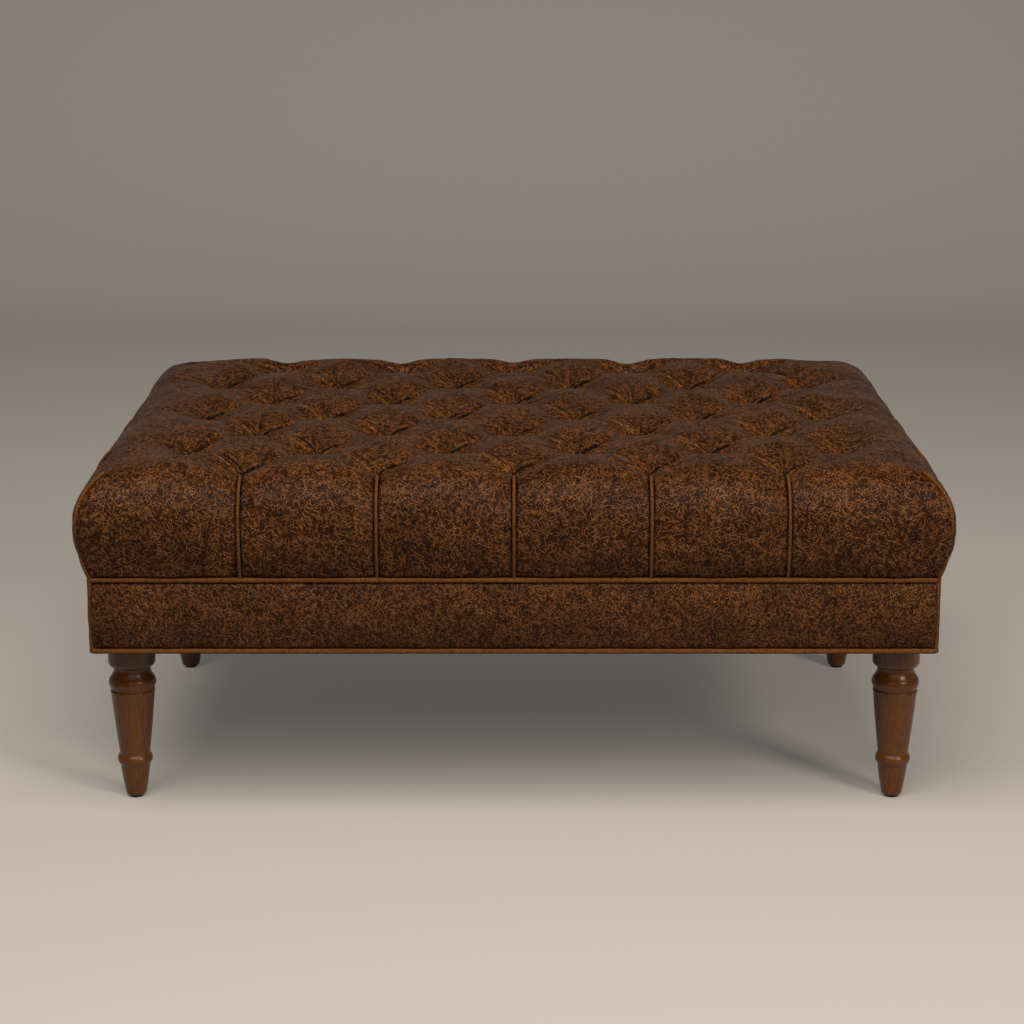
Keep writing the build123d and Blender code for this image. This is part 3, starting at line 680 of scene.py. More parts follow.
def tuckedFolds(alpha, beta, run, kind, x, y, height):
    # the leather is tucked on each tuft's left: a fold leans back over the pleat there, and dies out along it
    dx, dy = fromTuft(alpha, beta)
    dy = np.where(kind == 1, -run, dy)
    length = math.hypot(stepX / 2, stepY)
    along = (dy * stepY - dx * stepX / 2) / length
    behind = (dx * stepY + dy * stepX / 2) / length
    pick = picksAt(np.round(alpha) * 43 + np.round(beta) * 19 + 300)
    way = np.clip(along / cv["tuckLength"], 0, 1)
    behind = behind - cv["tuckBow"] * (0.7 + 0.6 * pick[:, 0]) * np.sin(math.pi * way ** 0.6)
    inside = smoothStep(0, 25 * mm, np.minimum(lastX + x, lastY - y)) * (kind < 2) * smoothStep(0, 2 * mm, along)
    fold = lineDepth(tuckLine, along) * (0.94 + 0.12 * pick[:, 1])
    short = fold - height
    lift = 0.5 * (short + np.sqrt(short ** 2 + cv["tuckSoftness"] ** 2)) * inside * smoothStep(1.0, 0.85, way)
    lift = lift * smoothStep(*cv["tuckFront"], behind)
    lift = lift / (1 + np.exp(np.clip(behind / cv["tuckCliff"], -30, 30)))
    # a painted shadow line where the next pillow comes out from behind the fold, with a painted highlight just
    # above it
    back = dy + dx * stepY / (stepX / 2)
    above = height - lineDepth(tuckLine, -dx * length / (stepX / 2)) + 0.23 * back
    seen = inside * smoothStep(0, 1.5 * mm, behind) * smoothStep(0.75, 0.5, way) * smoothStep(1 * mm, -4 * mm, dx)
    dark = np.exp(-((above - cv["shadeLine"][0]) / cv["shadeLine"][1]) ** 6) * seen
    lit = 0.7 * np.exp(-((above - cv["litLine"][0]) / cv["litLine"][1]) ** 2) * seen
    return lift, dark, lit


def sideCreases(beta, run, kind):
    # fine creases that fan out over the side from each outer tuft, with painted shade along each crease
    apart = (beta - np.round(beta)) * 2 * stepY
    far = np.hypot(run, apart)
    pick = picksAt(np.round(beta) * 29 + 7)
    turn = np.arctan2(apart, np.maximum(run, 1e-6))
    fan = turn * cv["sideCreasesPerRadian"] + 0.3 * np.sin(run / (24 * mm) + 6 * pick[:, 0]) + pick[:, 1]
    size = picksAt(np.round(fan) * 53 + np.round(beta) * 11 + 900)
    aside = (fan - np.round(fan)) * far / cv["sideCreasesPerRadian"]
    line = np.exp(-(aside / cv["sideCreaseWidth"]) ** 2)
    amount = smoothStep(5 * mm, 20 * mm, far) * np.exp(-(far / ((40 + 55 * size[:, 0]) * mm)) ** 2)
    amount = np.where(kind == 3, amount * (0.3 + 0.7 * size[:, 1]) * np.cos(turn), 0)
    return -cv["sideCreaseDepth"] * line * amount, line * amount


def tuftGathers(alpha, beta, top):
    # small gathers that run out from each tuft, with painted shade in the tuft's hollow and along the gather
    # valleys, and lighter wear on their ridges
    dx, dy = fromTuft(alpha, beta)
    far = np.hypot(dx, dy)
    pick = picksAt(np.round(alpha) * 31 + np.round(beta) * 17)
    turn = np.arctan2(dy, dx)
    waves = 0.6 * np.sin(11 * turn + 2 * np.sin(3 * turn + pick[:, 1] * 6) + pick[:, 0] * 6)
    waves += np.sin(31 * turn + 2 * np.sin(2 * turn + pick[:, 2] * 6) + pick[:, 3] * 6 + far / (30 * mm))
    reach = (26 + 22 * np.sin(7 * turn + 9 * pick[:, 1])) * mm
    close = smoothStep(3 * mm, 10 * mm, far) * np.exp(-(far / (reach + 22 * mm)) ** 2)
    lift = np.where(top, cv["gatherHeight"] * waves * close, 0)
    dark = np.where(top, np.exp(-(far / (5 * mm)) ** 2), 0)
    valley = np.where(top, 0.75 * close * np.clip(-waves - 0.2, 0, 1) ** 1.5, 0)
    ridge = np.where(top, 0.5 * close * np.clip(waves - 0.3, 0, 1), 0)
    return lift, np.maximum(dark, valley), ridge


def coverShape(points, facts, faces):
    # moves the rounded box in to its tufts, pleats and seams, and gives the painted shade of its creases, seams
    # and foot and the painted highlights on its fold lips too
    alpha, beta, run, kind, x, y = facts.T
    normals = pointNormals(points, faces)
    top = kind == 0
    a, b = alpha % 1, beta % 1
    share = cv["valleyShare"]
    dimple = (1 - np.abs(np.cos(math.pi * a) * np.cos(math.pi * b)) + 1e-9) ** cv["dimplePower"]
    rise = share * dimple + (1 - share) * pillow(a, cv["pillowPower"]) * pillow(b, cv["pillowPower"])
    depth = np.where(top, cv["tuftDepth"] * (1 - rise), 0)
    # borders: the diamond's own edge near the tufts, then a pinch along each seam
    toSeam = np.minimum(a, 1 - a) * np.where(kind == 3, 2 * stepY, stepX)
    pinch = np.exp(-(toSeam / cv["faceReach"]) ** np.where(kind == 2, 2, cv["facePower"]))
    arch = np.where(kind == 2, 0, smoothStep(130 * mm, 50 * mm, run))
    pinch = pinch * (1 - arch) + (1 - pillow(a, cv["archPower"])) * arch
    fromTop = 1 - smoothStep(0, np.where(kind == 3, 55 * mm, 26 * mm), run)
    across = pinch * (1 - fromTop) + (1 - rise) * fromTop
    for number, line in ((1, frontLine), (2, backLine), (3, sideLine)):
        depth = np.where(kind == number, lineDepth(line, run) * across, depth)
    # the corners fall away over their piping
    fall = np.clip((np.abs(x) - lastX + stepX / 2) / (flatX + stepX / 2), 0, 1)
    fall = fall * np.clip((np.abs(y) - lastY + stepY) / (flatY + stepY), 0, 1)
    tuckLift, tuckDark, tuckHighlight = tuckedFolds(alpha, beta, run, kind, x, y, cv["tuftDepth"] - depth)
    depth = depth + cv["cornerFall"] * fall ** 2 * np.clip(normals[:, 2], 0, 1) ** 2
    tilt = np.where(y > 0, cv["backRise"], -cv["frontFall"]) * np.clip(np.abs(y) / lastY, 0, 1) ** 2
    depth = depth - tilt * np.clip(normals[:, 2], 0, 1)
    foldLift, foldDark, wearAndHighlight = pleatFolds(a, b, alpha, beta, top)
    gatherLift, gatherDark, gatherRub = tuftGathers(alpha, beta, top)
    sideLift, sideDark = sideCreases(beta, run, kind)
    dark = np.maximum(np.maximum(foldDark, gatherDark), np.maximum(sideDark, tuckDark))
    wearAndHighlight = np.maximum(np.maximum(wearAndHighlight, gatherRub), tuckHighlight)
    # leather turns in to the piping, with painted shade beside it
    seamed = np.zeros(len(run), bool)
    for number, start in zip((1, 2, 3), cv["seamShadeStarts"]):
        seamed |= (kind == number) & (run > start)
    dark = np.maximum(dark, np.where(seamed, np.exp(-(toSeam / cv["seamShadeReach"]) ** 6), 0))
    # painted shade along the cushion's foot, above the apron
    dark = np.maximum(dark, 0.8 * np.exp(-((points[:, 2] - footZ) / cv["footShadeReach"]) ** 2))
    # soft unevenness of stuffing under leather
    uneven = 0
    for number, (length, size) in enumerate(cv["stuffing"]):
        uneven = uneven + size * SoftNoise(cv["seed"] + 1 + number, length).at(x, y + run)
    level = smoothStep(0, 30 * mm, cv["tuftDepth"] - depth)
    lift = foldLift + gatherLift + sideLift + tuckLift + uneven * level
    return points + normals * (lift - depth)[:, None], dark, wearAndHighlight


def closeFoot(points, faces):
    # the flat underside, closed to its middle
    low = np.where(points[:, 2] < footZ + 0.05 * mm)[0]
    ring = low[np.argsort(np.arctan2(points[low, 1], points[low, 0]))].tolist()
    middle = len(points)
    faces = faces + [(ring[i], ring[i - 1], middle) for i in range(len(ring))]
    return np.vstack([points, [[0, 0, footZ]]]), faces


def flatPlaces(facts):
    # where each point lay on the hide: the top as it is, and each side folded out past its edge
    run, kind, x, y = facts[:, 2], facts[:, 3], facts[:, 4], facts[:, 5]
    roll = cv["rollRadius"]
    past = np.clip(run - np.where(kind == 3, flatX, flatY), 0, None)
    sideways = (kind == 3) | ((kind == 4) & (np.abs(x) - halfX > np.abs(y) - halfY))
    outX = np.where(sideways, np.minimum(np.abs(x), halfX - roll) + past, np.abs(x))
    outY = np.where(sideways, np.abs(y), np.minimum(np.abs(y), halfY - roll) + np.where(kind == 0, 0, past))
    return np.stack([np.sign(x) * outX, np.sign(y) * outY, np.zeros_like(x)], -1)


def makeCover():
    coarse = 1.0
    cover = coverGrid(cv["fineStep"] * coarse, cv["broadStep"])
    points, facts, faces = weld(np.vstack(cover.points), np.vstack(cover.facts), cover.faces)
    moved, dark, wearAndHighlight = coverShape(points, facts, faces)
    moved[points[:, 2] < footZ + 0.05 * mm, 2] = footZ
    moved, faces = closeFoot(moved, faces)
    piece = meshPiece("cushion_cover", moved, faces, leather)
    # the first attribute holds painted shade; the second holds wear with painted highlights on fold lips
    writeAttribute(piece, "fold", np.append(dark, 0))
    writeAttribute(piece, "wearAndHighlight", np.append(wearAndHighlight, 0))
    writeAttribute(piece, "flat", np.vstack([flatPlaces(facts), [[0, 0, 0]]]))
    return piece


cushion = makeCover()
place(cushion, "leather", "tufted_cushion")
print("cushion cover:", len(cushion.data.polygons), "faces")


# Piping: a cord in a folded leather strip, swept along every seam

pipingValues = {
    "seamRadius": 2.3 * mm,
    "cornerRadius": 2.5 * mm,
    "cornerStart": 30,          # degrees round the roll
    "apronCornerRadius": 3.4 * mm,
    "apronCornerPast": 3.5 * mm,
    "apronCornerOut": 1.2 * mm,
    "seamStart": 36 * mm,       # where the piping comes out of the tuft's hollow
    "sideSeamStart": 110 * mm,
    "pucker": 0.05,             # how much thinner or thicker, as a share
    "puckerLength": 9 * mm,
    "step": 2.2 * mm,
    "sides": 12,
}
pv = pipingValues


def pipingTree():
    # sweeps a round section along the path, a little thinner where a stitch pulls it
    tree, given = newGeometryTree("pipingAlongPath", {
        "Radius": "Float", "Pucker": "Float", "Spacing": "Float", "Step": "Float", "Sides": "Int",
        "Leather": "Material"})
    path = addNode(tree, "GeometryNodeResampleCurve", {"Curve": given["Geometry"], "Length": given["Step"]},
                   mode="LENGTH")
    spot = addNode(tree, "GeometryNodeInputPosition")
    scale = addNode(tree, "ShaderNodeMath", {0: 1.0, 1: given["Spacing"]}, operation="DIVIDE")
    noise = addNode(tree, "ShaderNodeTexNoise", {"Vector": spot, "Scale": scale, "Detail": 1.0})
    change = addNode(tree, "ShaderNodeMapRange", {
        "Value": noise, "From Min": 0.3, "From Max": 0.7, "To Min": -1.0, "To Max": 1.0})
    change = addNode(tree, "ShaderNodeMath", {0: change, 1: given["Pucker"], 2: 1.0}, operation="MULTIPLY_ADD")
    section = addNode(tree, "GeometryNodeCurvePrimitiveCircle", {
        "Resolution": given["Sides"], "Radius": given["Radius"]}, mode="RADIUS")
    swept = addNode(tree, "GeometryNodeCurveToMesh", {"Curve": path, "Profile Curve": section, "Fill Caps": True,
                                                      "Scale": change})
    smooth = addNode(tree, "GeometryNodeSetShadeSmooth", {"Geometry": swept})
    covered = addNode(tree, "GeometryNodeSetMaterial", {"Geometry": smooth, "Material": given["Leather"]})
    finishGeometryTree(tree, covered)
    return tree


sweepPiping = pipingTree()


def makePiping(name, lines, radius, nodes, closed=False):
    piece = runTree(name, curvePiece(name + "_path", lines, closed), sweepPiping, {
        "Radius": radius, "Pucker": pv["pucker"], "Spacing": pv["puckerLength"], "Step": pv["step"],
        "Sides": pv["sides"], "Leather": pipingLeather})
    faceOutwards(piece)
    place(piece, "leather_piping", *nodes)
    return piece


def seamPath(line, x=None, y=None, sign=1, start=0.0):
    # the cover's own line down a seam, from near its tuft to the foot
    offX, offY, height, _, run = ringProfile(1 * mm, 3 * mm).T
    out = lastY + offY if x is not None else lastX + offX
    if y is not None:
        run = np.where(run < flatY, offX, run + flatX - flatY)
    slope = np.arctan2(-np.gradient(height), np.gradient(out))
    depth = lineDepth(line, run) - 0.85 * pv["seamRadius"]
    out = out - np.sin(slope) * depth
    height = height - np.cos(slope) * depth
    keep = run > start
    if x is not None:
        return [(x, sign * o, z) for o, z in zip(out[keep], height[keep])]
    return [(sign * o, y, z) for o, z in zip(out[keep], height[keep])]


tuftColumns = [-lastX + stepX * (i + 0.5) for i in range(cv["oddRowTufts"])]
sideTufts = [-lastY + stepY * i for i in range(1, cv["tuftRows"], 2)]
seams = {
    "front": [seamPath(frontLine, x=x, sign=-1, start=pv["seamStart"]) for x in tuftColumns],
    "back": [seamPath(backLine, x=x, sign=1, start=pv["seamStart"]) for x in tuftColumns],
    "left": [seamPath(sideLine, y=y, sign=-1, start=pv["sideSeamStart"]) for y in sideTufts],
    "right": [seamPath(sideLine, y=y, sign=1, start=pv["sideSeamStart"]) for y in sideTufts],
}
for side, lines in seams.items():
    makePiping(side + "_seam_piping", lines, pv["seamRadius"], [side + "_seam_welts"])


def cornerPath(sx, sy):
    # over the roll and down the corner, on the bisector of its plan arc
    offX, offY, height, radius, run = ringProfile(1 * mm, 3 * mm).T
    inset = radius * (1 - math.sqrt(0.5)) + 0.3 * pv["cornerRadius"]
    slope = np.arctan2(-np.gradient(height), np.gradient(offX) * math.sqrt(2))
    depth = cv["cornerFall"] * np.clip(np.cos(slope), 0, 1) ** 2
    inset = inset + np.sin(slope) * depth * math.sqrt(0.5)
    height = height - np.cos(slope) * depth
    keep = run > flatY + cv["rollRadius"] * math.radians(pv["cornerStart"])
    return [(sx * (lastX + ox - i), sy * (lastY + oy - i), z)
            for ox, oy, i, z in zip(offX[keep], offY[keep], inset[keep], height[keep])]


corners = {"front_left": (-1, -1), "front_right": (1, -1), "rear_left": (-1, 1), "rear_right": (1, 1)}
for corner, (sx, sy) in corners.items():
    makePiping("cushion_corner_piping_" + corner, [cornerPath(sx, sy)], pv["cornerRadius"],
               ["cushion_corner_welt_" + corner])


def bandPath(node):
    # a rectangle with small round corners through the middle of an apron welt
    low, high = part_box(node)
    radius = (high.z - low.z) / 2
    hx, hy, z, bend = high.x - radius, high.y - radius, (high.z + low.z) / 2, 5 * mm
    points = []
    for cx, cy, first in ((hx - bend, hy - bend, 0), (bend - hx, hy - bend, 90), (bend - hx, bend - hy, 180),
                          (hx - bend, bend - hy, 270)):
        for turn in range(0, 91, 15):
            angle = math.radians(first + turn)
            points.append((cx + bend * math.cos(angle), cy + bend * math.sin(angle), z))
    return points, radius


for node in ("apron_top_welt", "apron_bottom_welt"):
    points, radius = bandPath(node)
    makePiping(node.replace("welt", "piping"), [points], radius, [node], closed=True)
for corner, (sx, sy) in corners.items():
    low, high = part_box("apron_corner_welt_" + corner)
    middle = ((low.x + high.x) / 2 + sx * pv["apronCornerOut"], (low.y + high.y) / 2 + sy * pv["apronCornerOut"])
    ends = (low.z - pv["apronCornerPast"], high.z + pv["apronCornerPast"])
    makePiping("apron_corner_piping_" + corner, [[(*middle, z) for z in ends]], pv["apronCornerRadius"],
               ["apron_corner_welt_" + corner])
print("piping swept")


# Apron: leather over thin wadding on the rails, turned in behind the welts

apronValues = {
    "bulge": [11.0 * mm, 3.0 * mm],     # front and back, then sides
    "edge": 7 * mm,
    "turnIn": 3.0 * mm,
    "past": 1.5 * mm,                   # how far the cover reaches beyond the panel's edges
    "rest": 0.6 * mm,                   # how far it stands off the panel
    "rearGap": 0.5 * mm,
    "edgePower": 2.6,                   # how round the edges are
    "edgeShade": 2.2 * mm,
    "wave": 0.35 * mm,
    "waveLength": 70 * mm,
    "step": 3.0 * mm,
    "seed": 31,
}


def makeApron(side, turns):
    av = apronValues
    low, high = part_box("apron_panel_" + side)
    length = high.x - low.x if turns % 2 == 0 else high.y - low.y
    face = {"front": low.y, "back": -high.y, "left": low.x, "right": -high.x}[side]     # distance out, negative
    thick = (high.y - low.y) if turns % 2 == 0 else (high.x - low.x)
    columns, rows = round(length / av["step"]), round((high.z - low.z) / av["step"])
    U, V = np.meshgrid(np.linspace(0, 1, columns + 1), np.linspace(0, 1, rows + 1), indexing="ij")
    # more points near the edges, where the leather turns in
    U, V = U - 0.11 * np.sin(2 * math.pi * U) / math.pi, V - 0.7 * np.sin(2 * math.pi * V) / (2 * math.pi)
    x, z = (U - 0.5) * (length + 2 * av["past"]), low.z - av["past"] + V * (high.z - low.z + 2 * av["past"])
    edge = np.minimum(np.minimum(U, 1 - U) * length, np.minimum(V, 1 - V) * (high.z - low.z))
    swell = 1 - (1 - np.clip(edge / av["edge"], 0, 1)) ** av["edgePower"]
    crown = np.sin(math.pi * V)
    noise = SoftNoise(av["seed"] + turns, av["waveLength"]).at(x, z) * av["wave"] * swell
    out = -av["turnIn"] + (av["turnIn"] + av["rest"]) * swell
    out = out + (av["bulge"][turns % 2] - av["rest"]) * crown * swell + noise
    y = face - out
    count = x.size
    front = np.stack([x, y, z], -1).reshape(-1, 3)
    rear = face + thick - av["rearGap"]
    back = front.copy()
    back[:, 1] = rear
    index = np.arange(count).reshape(x.shape)
    faces = [tuple(q) for q in gridQuads(index).tolist()]
    rim = np.concatenate([index[:, 0], index[-1, 1:], index[-2::-1, -1], index[0, -2:0:-1]])
    points = np.vstack([front, back[rim], [[0, rear, (low.z + high.z) / 2]]])
    m = len(rim)
    for i in range(m):
        j = (i + 1) % m
        faces.append((int(rim[j]), int(rim[i]), count + i, count + j))
        faces.append((count + j, count + i, count + m))
    angle = math.radians(90 * turns)
    turned = points.copy()
    turned[:, 0] = points[:, 0] * math.cos(angle) - points[:, 1] * math.sin(angle)
    turned[:, 1] = points[:, 0] * math.sin(angle) + points[:, 1] * math.cos(angle)
    piece = meshPiece("apron_cover_" + side, turned, faces, apronLeather)
    # painted shade along the edges where the leather turns in behind the welts, and on the hidden rim and back
    dark = np.concatenate([(0.9 * np.exp(-(edge / av["edgeShade"]) ** 2)).reshape(-1), np.ones(m + 1)])
    writeAttribute(piece, "fold", dark)
    # each panel is cut from its own place on the hide
    writeAttribute(piece, "flat", np.stack([points[:, 0] + 2 * turns, points[:, 2], np.zeros(len(points))], -1))
    faceOutwards(piece)
    place(piece, "leather", "apron_panel_" + side)


for turns, side in enumerate(("front", "right", "back", "left")):
    makeApron(side, turns)
print("apron covered")


# Legs: one turned profile, revolved at the four leg positions

legValues = {"segments": 56, "rows": 230}
legLow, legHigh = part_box("leg_front_left")


def turnedProfile():
    # radius and height of the turning, from the foot up: straight runs, beads, coves and a bulb
    tall = legHigh.z - legLow.z
    points = [(0, 0), (13.3 * mm, 0), (14.5 * mm, 1.2 * mm)]

    def run(startRadius, endRadius, startShare, endShare, bulge, steps=14, power=1.0):
        for t in np.linspace(0, 1, steps + 1)[1:]:
            radius = startRadius + (endRadius - startRadius) * t + bulge * math.sin(math.pi * t) ** power
            points.append((radius * mm, (startShare + (endShare - startShare) * t) * tall))

    def ease(startRadius, endRadius, startShare, endShare, steps=12):
        for t in np.linspace(0, 1, steps + 1)[1:]:
            radius = startRadius + (endRadius - startRadius) * (1 - math.cos(math.pi * t)) / 2
            points.append((radius * mm, (startShare + (endShare - startShare) * t) * tall))

    run(14.5, 21.4, 0.005, 0.188, 0.5)                  # foot
    run(21.4, 21.7, 0.188, 0.193, 0, 2)
    run(21.7, 21.7, 0.193, 0.258, 3.6, 18, 0.75)        # ring bead
    run(21.7, 21.8, 0.258, 0.263, 0, 2)
    run(21.8, 31.5, 0.263, 0.646, 0.4, 24)              # tapered shaft
    run(31.5, 31.5, 0.646, 0.658, 0.6, 8)               # lip over the shaft
    run(31.5, 31.7, 0.658, 0.669, -2.4, 8)              # groove
    ease(31.7, 34.1, 0.669, 0.706, 12)                  # bulb, widest low down
    ease(34.1, 33.0, 0.706, 0.730, 8)
    for t in np.linspace(0, 1, 15)[1:]:                 # drawn in to the neck in a hollow
        points.append(((26.0 + 7.0 * (1 - t) ** 1.9) * mm, (0.730 + 0.066 * t) * tall))
    run(26.0, 26.0, 0.796, 0.802, -0.3, 4)              # neck
    for t in np.linspace(0, 1, 13):                     # underside of the collar, a quarter round
        angle = math.radians(-90 + 90 * t)
        points.append(((26.2 + 7.7 * math.cos(angle)) * mm, (0.838 + 0.035 * math.sin(angle)) * tall))
    points += [(33.9 * mm, tall - 0.8 * mm), (33.1 * mm, tall), (0, tall)]
    return points


def legTree():
    # samples the profile along its length and turns it round the axis, then copies it to each place
    tree, given = newGeometryTree("turnedLegs", {
        "Segments": "Int", "Rows": "Int", "Across": "Float", "Along": "Float", "Height": "Float",
        "Wood": "Material"})
    grid = addNode(tree, "GeometryNodeMeshGrid", {"Size X": 1.0, "Size Y": 1.0, "Vertices X": given["Segments"],
                                                  "Vertices Y": given["Rows"]})
    spot = addNode(tree, "GeometryNodeInputPosition")
    split = addNode(tree, "ShaderNodeSeparateXYZ", {0: spot})
    share = addNode(tree, "ShaderNodeMath", {0: split.outputs["Y"], 1: 0.5}, operation="ADD")
    sample = addNode(tree, "GeometryNodeSampleCurve", {"Curves": given["Geometry"], "Factor": share},
                     mode="FACTOR", use_all_curves=True)
    profile = addNode(tree, "ShaderNodeSeparateXYZ", {0: sample.outputs["Position"]})
    angle = addNode(tree, "ShaderNodeMath", {0: split.outputs["X"], 1: 2 * math.pi}, operation="MULTIPLY")
    cosine = addNode(tree, "ShaderNodeMath", {0: angle}, operation="COSINE")
    sine = addNode(tree, "ShaderNodeMath", {0: angle}, operation="SINE")
    x = addNode(tree, "ShaderNodeMath", {0: profile.outputs["X"], 1: cosine}, operation="MULTIPLY")
    y = addNode(tree, "ShaderNodeMath", {0: profile.outputs["X"], 1: sine}, operation="MULTIPLY")
    turned = addNode(tree, "ShaderNodeCombineXYZ", {"X": x, "Y": y, "Z": profile.outputs["Z"]})
    leg = addNode(tree, "GeometryNodeSetPosition", {"Geometry": grid.outputs["Mesh"], "Position": turned})
    leg = addNode(tree, "GeometryNodeMergeByDistance", {"Geometry": leg, "Distance": 0.02 * mm})
    feet = addNode(tree, "GeometryNodeMeshGrid", {
        "Size X": given["Across"], "Size Y": given["Along"], "Vertices X": 2, "Vertices Y": 2})
    lift = addNode(tree, "ShaderNodeCombineXYZ", {"Z": given["Height"]})
    feet = addNode(tree, "GeometryNodeTransform", {"Geometry": feet.outputs["Mesh"], "Translation": lift})
    legs = addNode(tree, "GeometryNodeInstanceOnPoints", {"Points": feet, "Instance": leg})
    legs = addNode(tree, "GeometryNodeRealizeInstances", {"Geometry": legs})
    smooth = addNode(tree, "GeometryNodeSetShadeSmooth", {"Geometry": legs})
    stained = addNode(tree, "GeometryNodeSetMaterial", {"Geometry": smooth, "Material": given["Wood"]})
    finishGeometryTree(tree, stained)
    return tree


legProfile = curvePiece("leg_profile", [[(r, 0, z) for r, z in turnedProfile()]])
legs = runTree("turned_legs", legProfile, legTree(), {
    "Segments": legValues["segments"], "Rows": legValues["rows"], "Across": -(legLow.x + legHigh.x),
    "Along": -(legLow.y + legHigh.y), "Height": legLow.z, "Wood": turnedWood})
faceOutwards(legs)
place(legs, "stained_wood", *["leg_" + corner for corner in corners])
print("legs turned:", len(legs.data.polygons), "faces")


# Underside: a dust cloth stretched over the bottom of the frame and stapled round its edge

clothLow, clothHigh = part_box("dust_cover")
clothValues = {
    "cutOut": 70 * mm,
    "sag": 1.6 * mm,
    "ripple": 0.25 * mm,
    "rippleLength": 120 * mm,
    "rippleSeed": 5,
    "thickness": 0.4 * mm,
    "cells": 82,
    "staplePitch": 38 * mm,
    "stapleInset": 9 * mm,
    "stapleCrown": 11 * mm,
    "stapleWire": 0.7 * mm,
    "stapleTilt": 0.22,
    "stapleSeed": 4,
}


def makeDustCloth():
    width, depth = clothHigh.x - clothLow.x, clothHigh.y - clothLow.y
    xs = np.linspace(clothLow.x, clothHigh.x, clothValues["cells"] + 1)
    ys = np.linspace(clothLow.y, clothHigh.y, round(clothValues["cells"] * depth / width) + 1)
    cut = clothValues["cutOut"] / 2
    legX, legY = (legLow.x + legHigh.x) / 2, (legLow.y + legHigh.y) / 2
    for places, leg in ((xs, legX), (ys, legY)):
        for edge in (leg - cut, leg + cut, -leg - cut, -leg + cut):
            places[np.argmin(np.abs(places - edge))] = edge
    X, Y = np.meshgrid(xs, ys, indexing="ij")
    hang = np.clip((1 - (X / clothHigh.x) ** 4) * (1 - (Y / clothHigh.y) ** 4), 0, 1)
    ripple = SoftNoise(clothValues["rippleSeed"], clothValues["rippleLength"]).at(X, Y) * clothValues["ripple"]
    Z = clothHigh.z - 0.5 * mm - clothValues["sag"] * hang + ripple * hang
    index = np.arange(X.size).reshape(X.shape)
    faces = []
    for i in range(len(xs) - 1):
        for j in range(len(ys) - 1):
            cx, cy = (xs[i] + xs[i + 1]) / 2, (ys[j] + ys[j + 1]) / 2
            if abs(abs(cx) + legX) > cut or abs(abs(cy) + legY) > cut:
                around = index[i, j], index[i, j + 1], index[i + 1, j + 1], index[i + 1, j]
                faces.append(tuple(int(c) for c in around))
    piece = meshPiece("dust_cloth", np.stack([X, Y, Z], -1).reshape(-1, 3), faces, dustCloth)
    work = bmesh.new()
    work.from_mesh(piece.data)
    bmesh.ops.delete(work, geom=[v for v in work.verts if not v.link_faces], context="VERTS")
    work.to_mesh(piece.data)
    work.free()
    thick = piece.modifiers.new("thickness", "SOLIDIFY")
    thick.thickness, thick.offset = clothValues["thickness"], 0
    place(piece, "dust_cloth", "dust_cover")


def stapleTree():
    # a wire staple on every point of the path, turned along it
    tree, given = newGeometryTree("staplesAlongEdge", {
        "Pitch": "Float", "Crown": "Float", "Wire": "Float", "Tilt": "Float", "Seed": "Int", "Steel": "Material"})
    points = addNode(tree, "GeometryNodeCurveToPoints", {"Curve": given["Geometry"], "Length": given["Pitch"]},
                     mode="LENGTH")
    size = addNode(tree, "ShaderNodeCombineXYZ", {"X": given["Wire"], "Y": given["Wire"], "Z": given["Crown"]})
    crown = addNode(tree, "GeometryNodeMeshCube", {
        "Size": size, "Vertices X": 2, "Vertices Y": 2, "Vertices Z": 4})
    least = addNode(tree, "ShaderNodeMath", {0: given["Tilt"], 1: -1.0}, operation="MULTIPLY")
    tilt = addNode(tree, "FunctionNodeRandomValue", {"Min": least, "Max": given["Tilt"], "Seed": given["Seed"]},
                   data_type="FLOAT")
    tilt = addNode(tree, "ShaderNodeCombineXYZ", {"Z": tilt})
    turned = addNode(tree, "FunctionNodeRotateEuler", {"Rotation": points.outputs["Rotation"], "Rotate By": tilt})
    staples = addNode(tree, "GeometryNodeInstanceOnPoints", {
        "Points": points.outputs["Points"], "Instance": crown.outputs["Mesh"], "Rotation": turned})
    staples = addNode(tree, "GeometryNodeRealizeInstances", {"Geometry": staples})
    plated = addNode(tree, "GeometryNodeSetMaterial", {"Geometry": staples, "Material": given["Steel"]})
    finishGeometryTree(tree, plated)
    return tree


def makeStaples():
    inset = clothValues["stapleInset"]
    x, y, z = clothHigh.x - inset, clothHigh.y - inset, clothLow.z - 0.15 * mm
    edge = curvePiece("staple_edge", [[(-x, -y, z), (x, -y, z), (x, y, z), (-x, y, z)]], closed=True)
    staples = runTree("cloth_staples", edge, stapleTree(), {
        "Pitch": clothValues["staplePitch"], "Crown": clothValues["stapleCrown"],
        "Wire": clothValues["stapleWire"], "Tilt": clothValues["stapleTilt"],
        "Seed": clothValues["stapleSeed"], "Steel": zincSteel})
    place(staples, "zinc_steel")


makeDustCloth()
makeStaples()
print("dust cloth stapled")


# Camera, floor and lights

viewValues = {
    "lens": 88.59,
    "sensor": 36.0,
    "distance": 3355.7 * mm,    # from the cushion's front
    "height": 1262.8 * mm,
    "pitch": 13.56,             # degrees down
    "side": -2.8 * mm,
}


def makeCamera():
    data = bpy.data.cameras.new("camera")
    data.lens, data.sensor_width = viewValues["lens"], viewValues["sensor"]
    camera = addObject("camera", data)
    camera.location = (viewValues["side"], cushionLow.y - viewValues["distance"], viewValues["height"])
    camera.rotation_euler = (math.radians(90 - viewValues["pitch"]), 0, 0)
    bpy.context.scene.camera = camera


def softbox(name, spot, target, size, watts, tint):
    data = bpy.data.lights.new(name, "AREA")
    data.shape, data.size, data.size_y = "RECTANGLE", *size
    data.energy = watts
    data.color = linearColor(tint)[:3]
    light = addObject(name, data)
    light.location = spot
    light.rotation_euler = (Vector(target) - Vector(spot)).to_track_quat("-Z", "Y").to_euler()


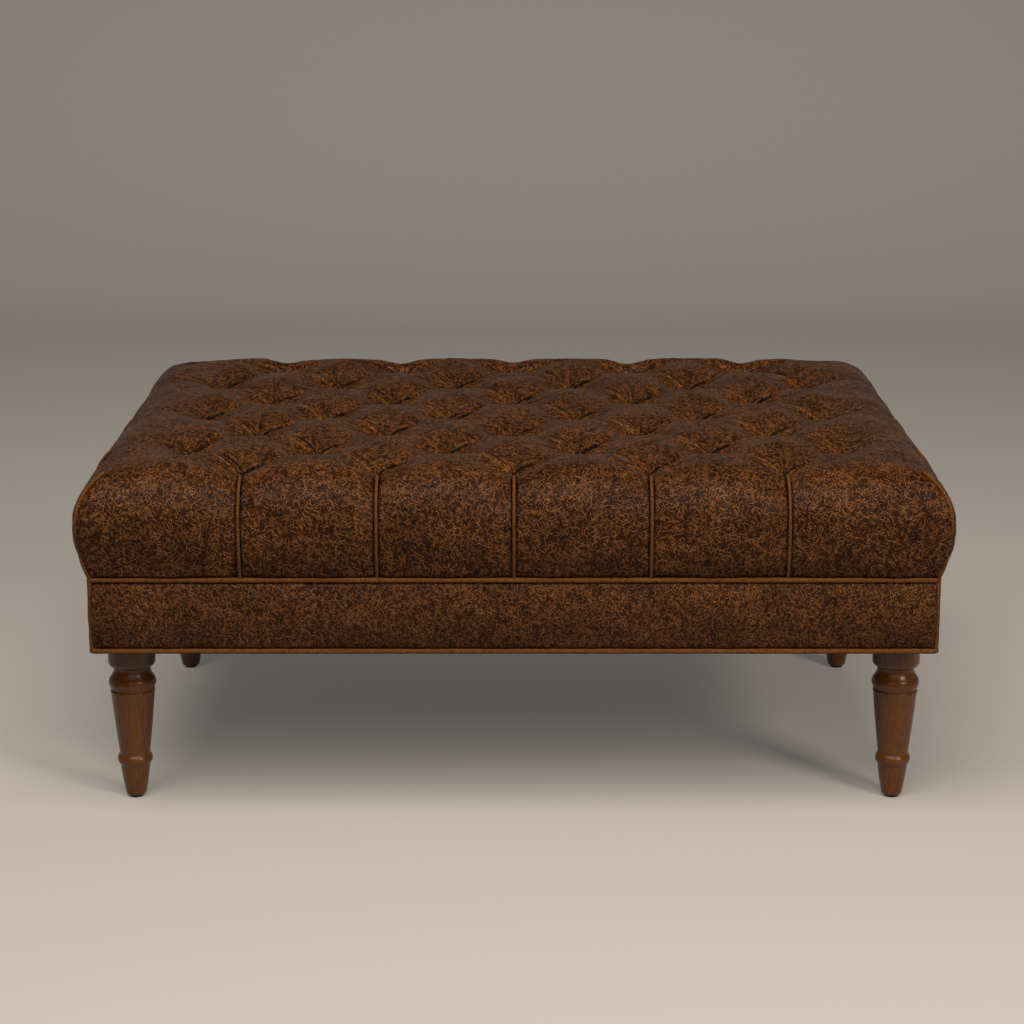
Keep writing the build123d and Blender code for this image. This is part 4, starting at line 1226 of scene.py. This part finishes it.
studioValues = {
    "paper": "#d2cfca",
    "shade": "#4a4642",         # what the paper bounces on to the object
    "glow": "#dcdad6",
    "glowStrength": 0.12,
    "sky": "#efe6dc",
    "skyStrength": 0.07,
    "half": 9.0,
    "back": 5.0,
    "rise": 5.0,
    "bend": 1.2,
}


def makeStudio():
    # matt paper sweep: pale to the camera, with a greyer bounce so the underside keeps its shade
    sv = studioValues
    material, tree = newMaterial("mattBackgroundPaper")
    path = addNode(tree, "ShaderNodeLightPath")
    seen = path.outputs["Is Camera Ray"]
    for other in ("Is Glossy Ray", "Is Transmission Ray"):
        seen = addNode(tree, "ShaderNodeMath", {0: seen, 1: path.outputs[other]}, operation="MAXIMUM")
    color = addNode(tree, "ShaderNodeMix", {
        "Factor": seen, "A": linearColor(sv["shade"]), "B": linearColor(sv["paper"])}, data_type="RGBA")
    glow = addNode(tree, "ShaderNodeMath", {0: seen, 1: sv["glowStrength"]}, operation="MULTIPLY")
    shader = addNode(tree, "ShaderNodeBsdfPrincipled", {
        "Base Color": color, "Roughness": 0.8, "Emission Color": linearColor(sv["glow"]),
        "Emission Strength": glow})
    addNode(tree, "ShaderNodeOutputMaterial", {"Surface": shader})
    half, start, bend = sv["half"], sv["back"] - sv["bend"], sv["bend"]
    profile = [(-half, 0.0), (start, 0.0)]
    for turn in np.linspace(0, math.pi / 2, 17)[1:]:
        profile.append((start + bend * math.sin(turn), bend - bend * math.cos(turn)))
    profile.append((sv["back"], sv["rise"]))
    points = [(x, y, z) for y, z in profile for x in (-half, half)]
    faces = [(2 * i, 2 * i + 1, 2 * i + 3, 2 * i + 2) for i in range(len(profile) - 1)]
    meshPiece("studio_sweep", points, faces, material)
    world = bpy.data.worlds.new("studio")
    bpy.context.scene.world = world
    world.use_nodes = True
    background = world.node_tree.nodes["Background"]
    background.inputs["Color"].default_value = linearColor(sv["sky"])
    background.inputs["Strength"].default_value = sv["skyStrength"]


makeCamera()
makeStudio()
softbox("keySoftbox", (2.4, -2.9, 2.2), (0.0, -0.2, 0.4), (0.9, 0.9), 46, "#ffeeda")
softbox("frontStrip", (-0.3, -3.6, 1.9), (0, -0.3, 0.4), (3.0, 0.3), 9, "#fff4ea")
softbox("overheadFront", (-0.4, -1.9, 3.3), (0, -0.2, 0.4), (3.2, 2.4), 90, "#fff1e2")
bpy.context.scene.view_settings.view_transform = "Standard"
print("camera, sweep and lights set")
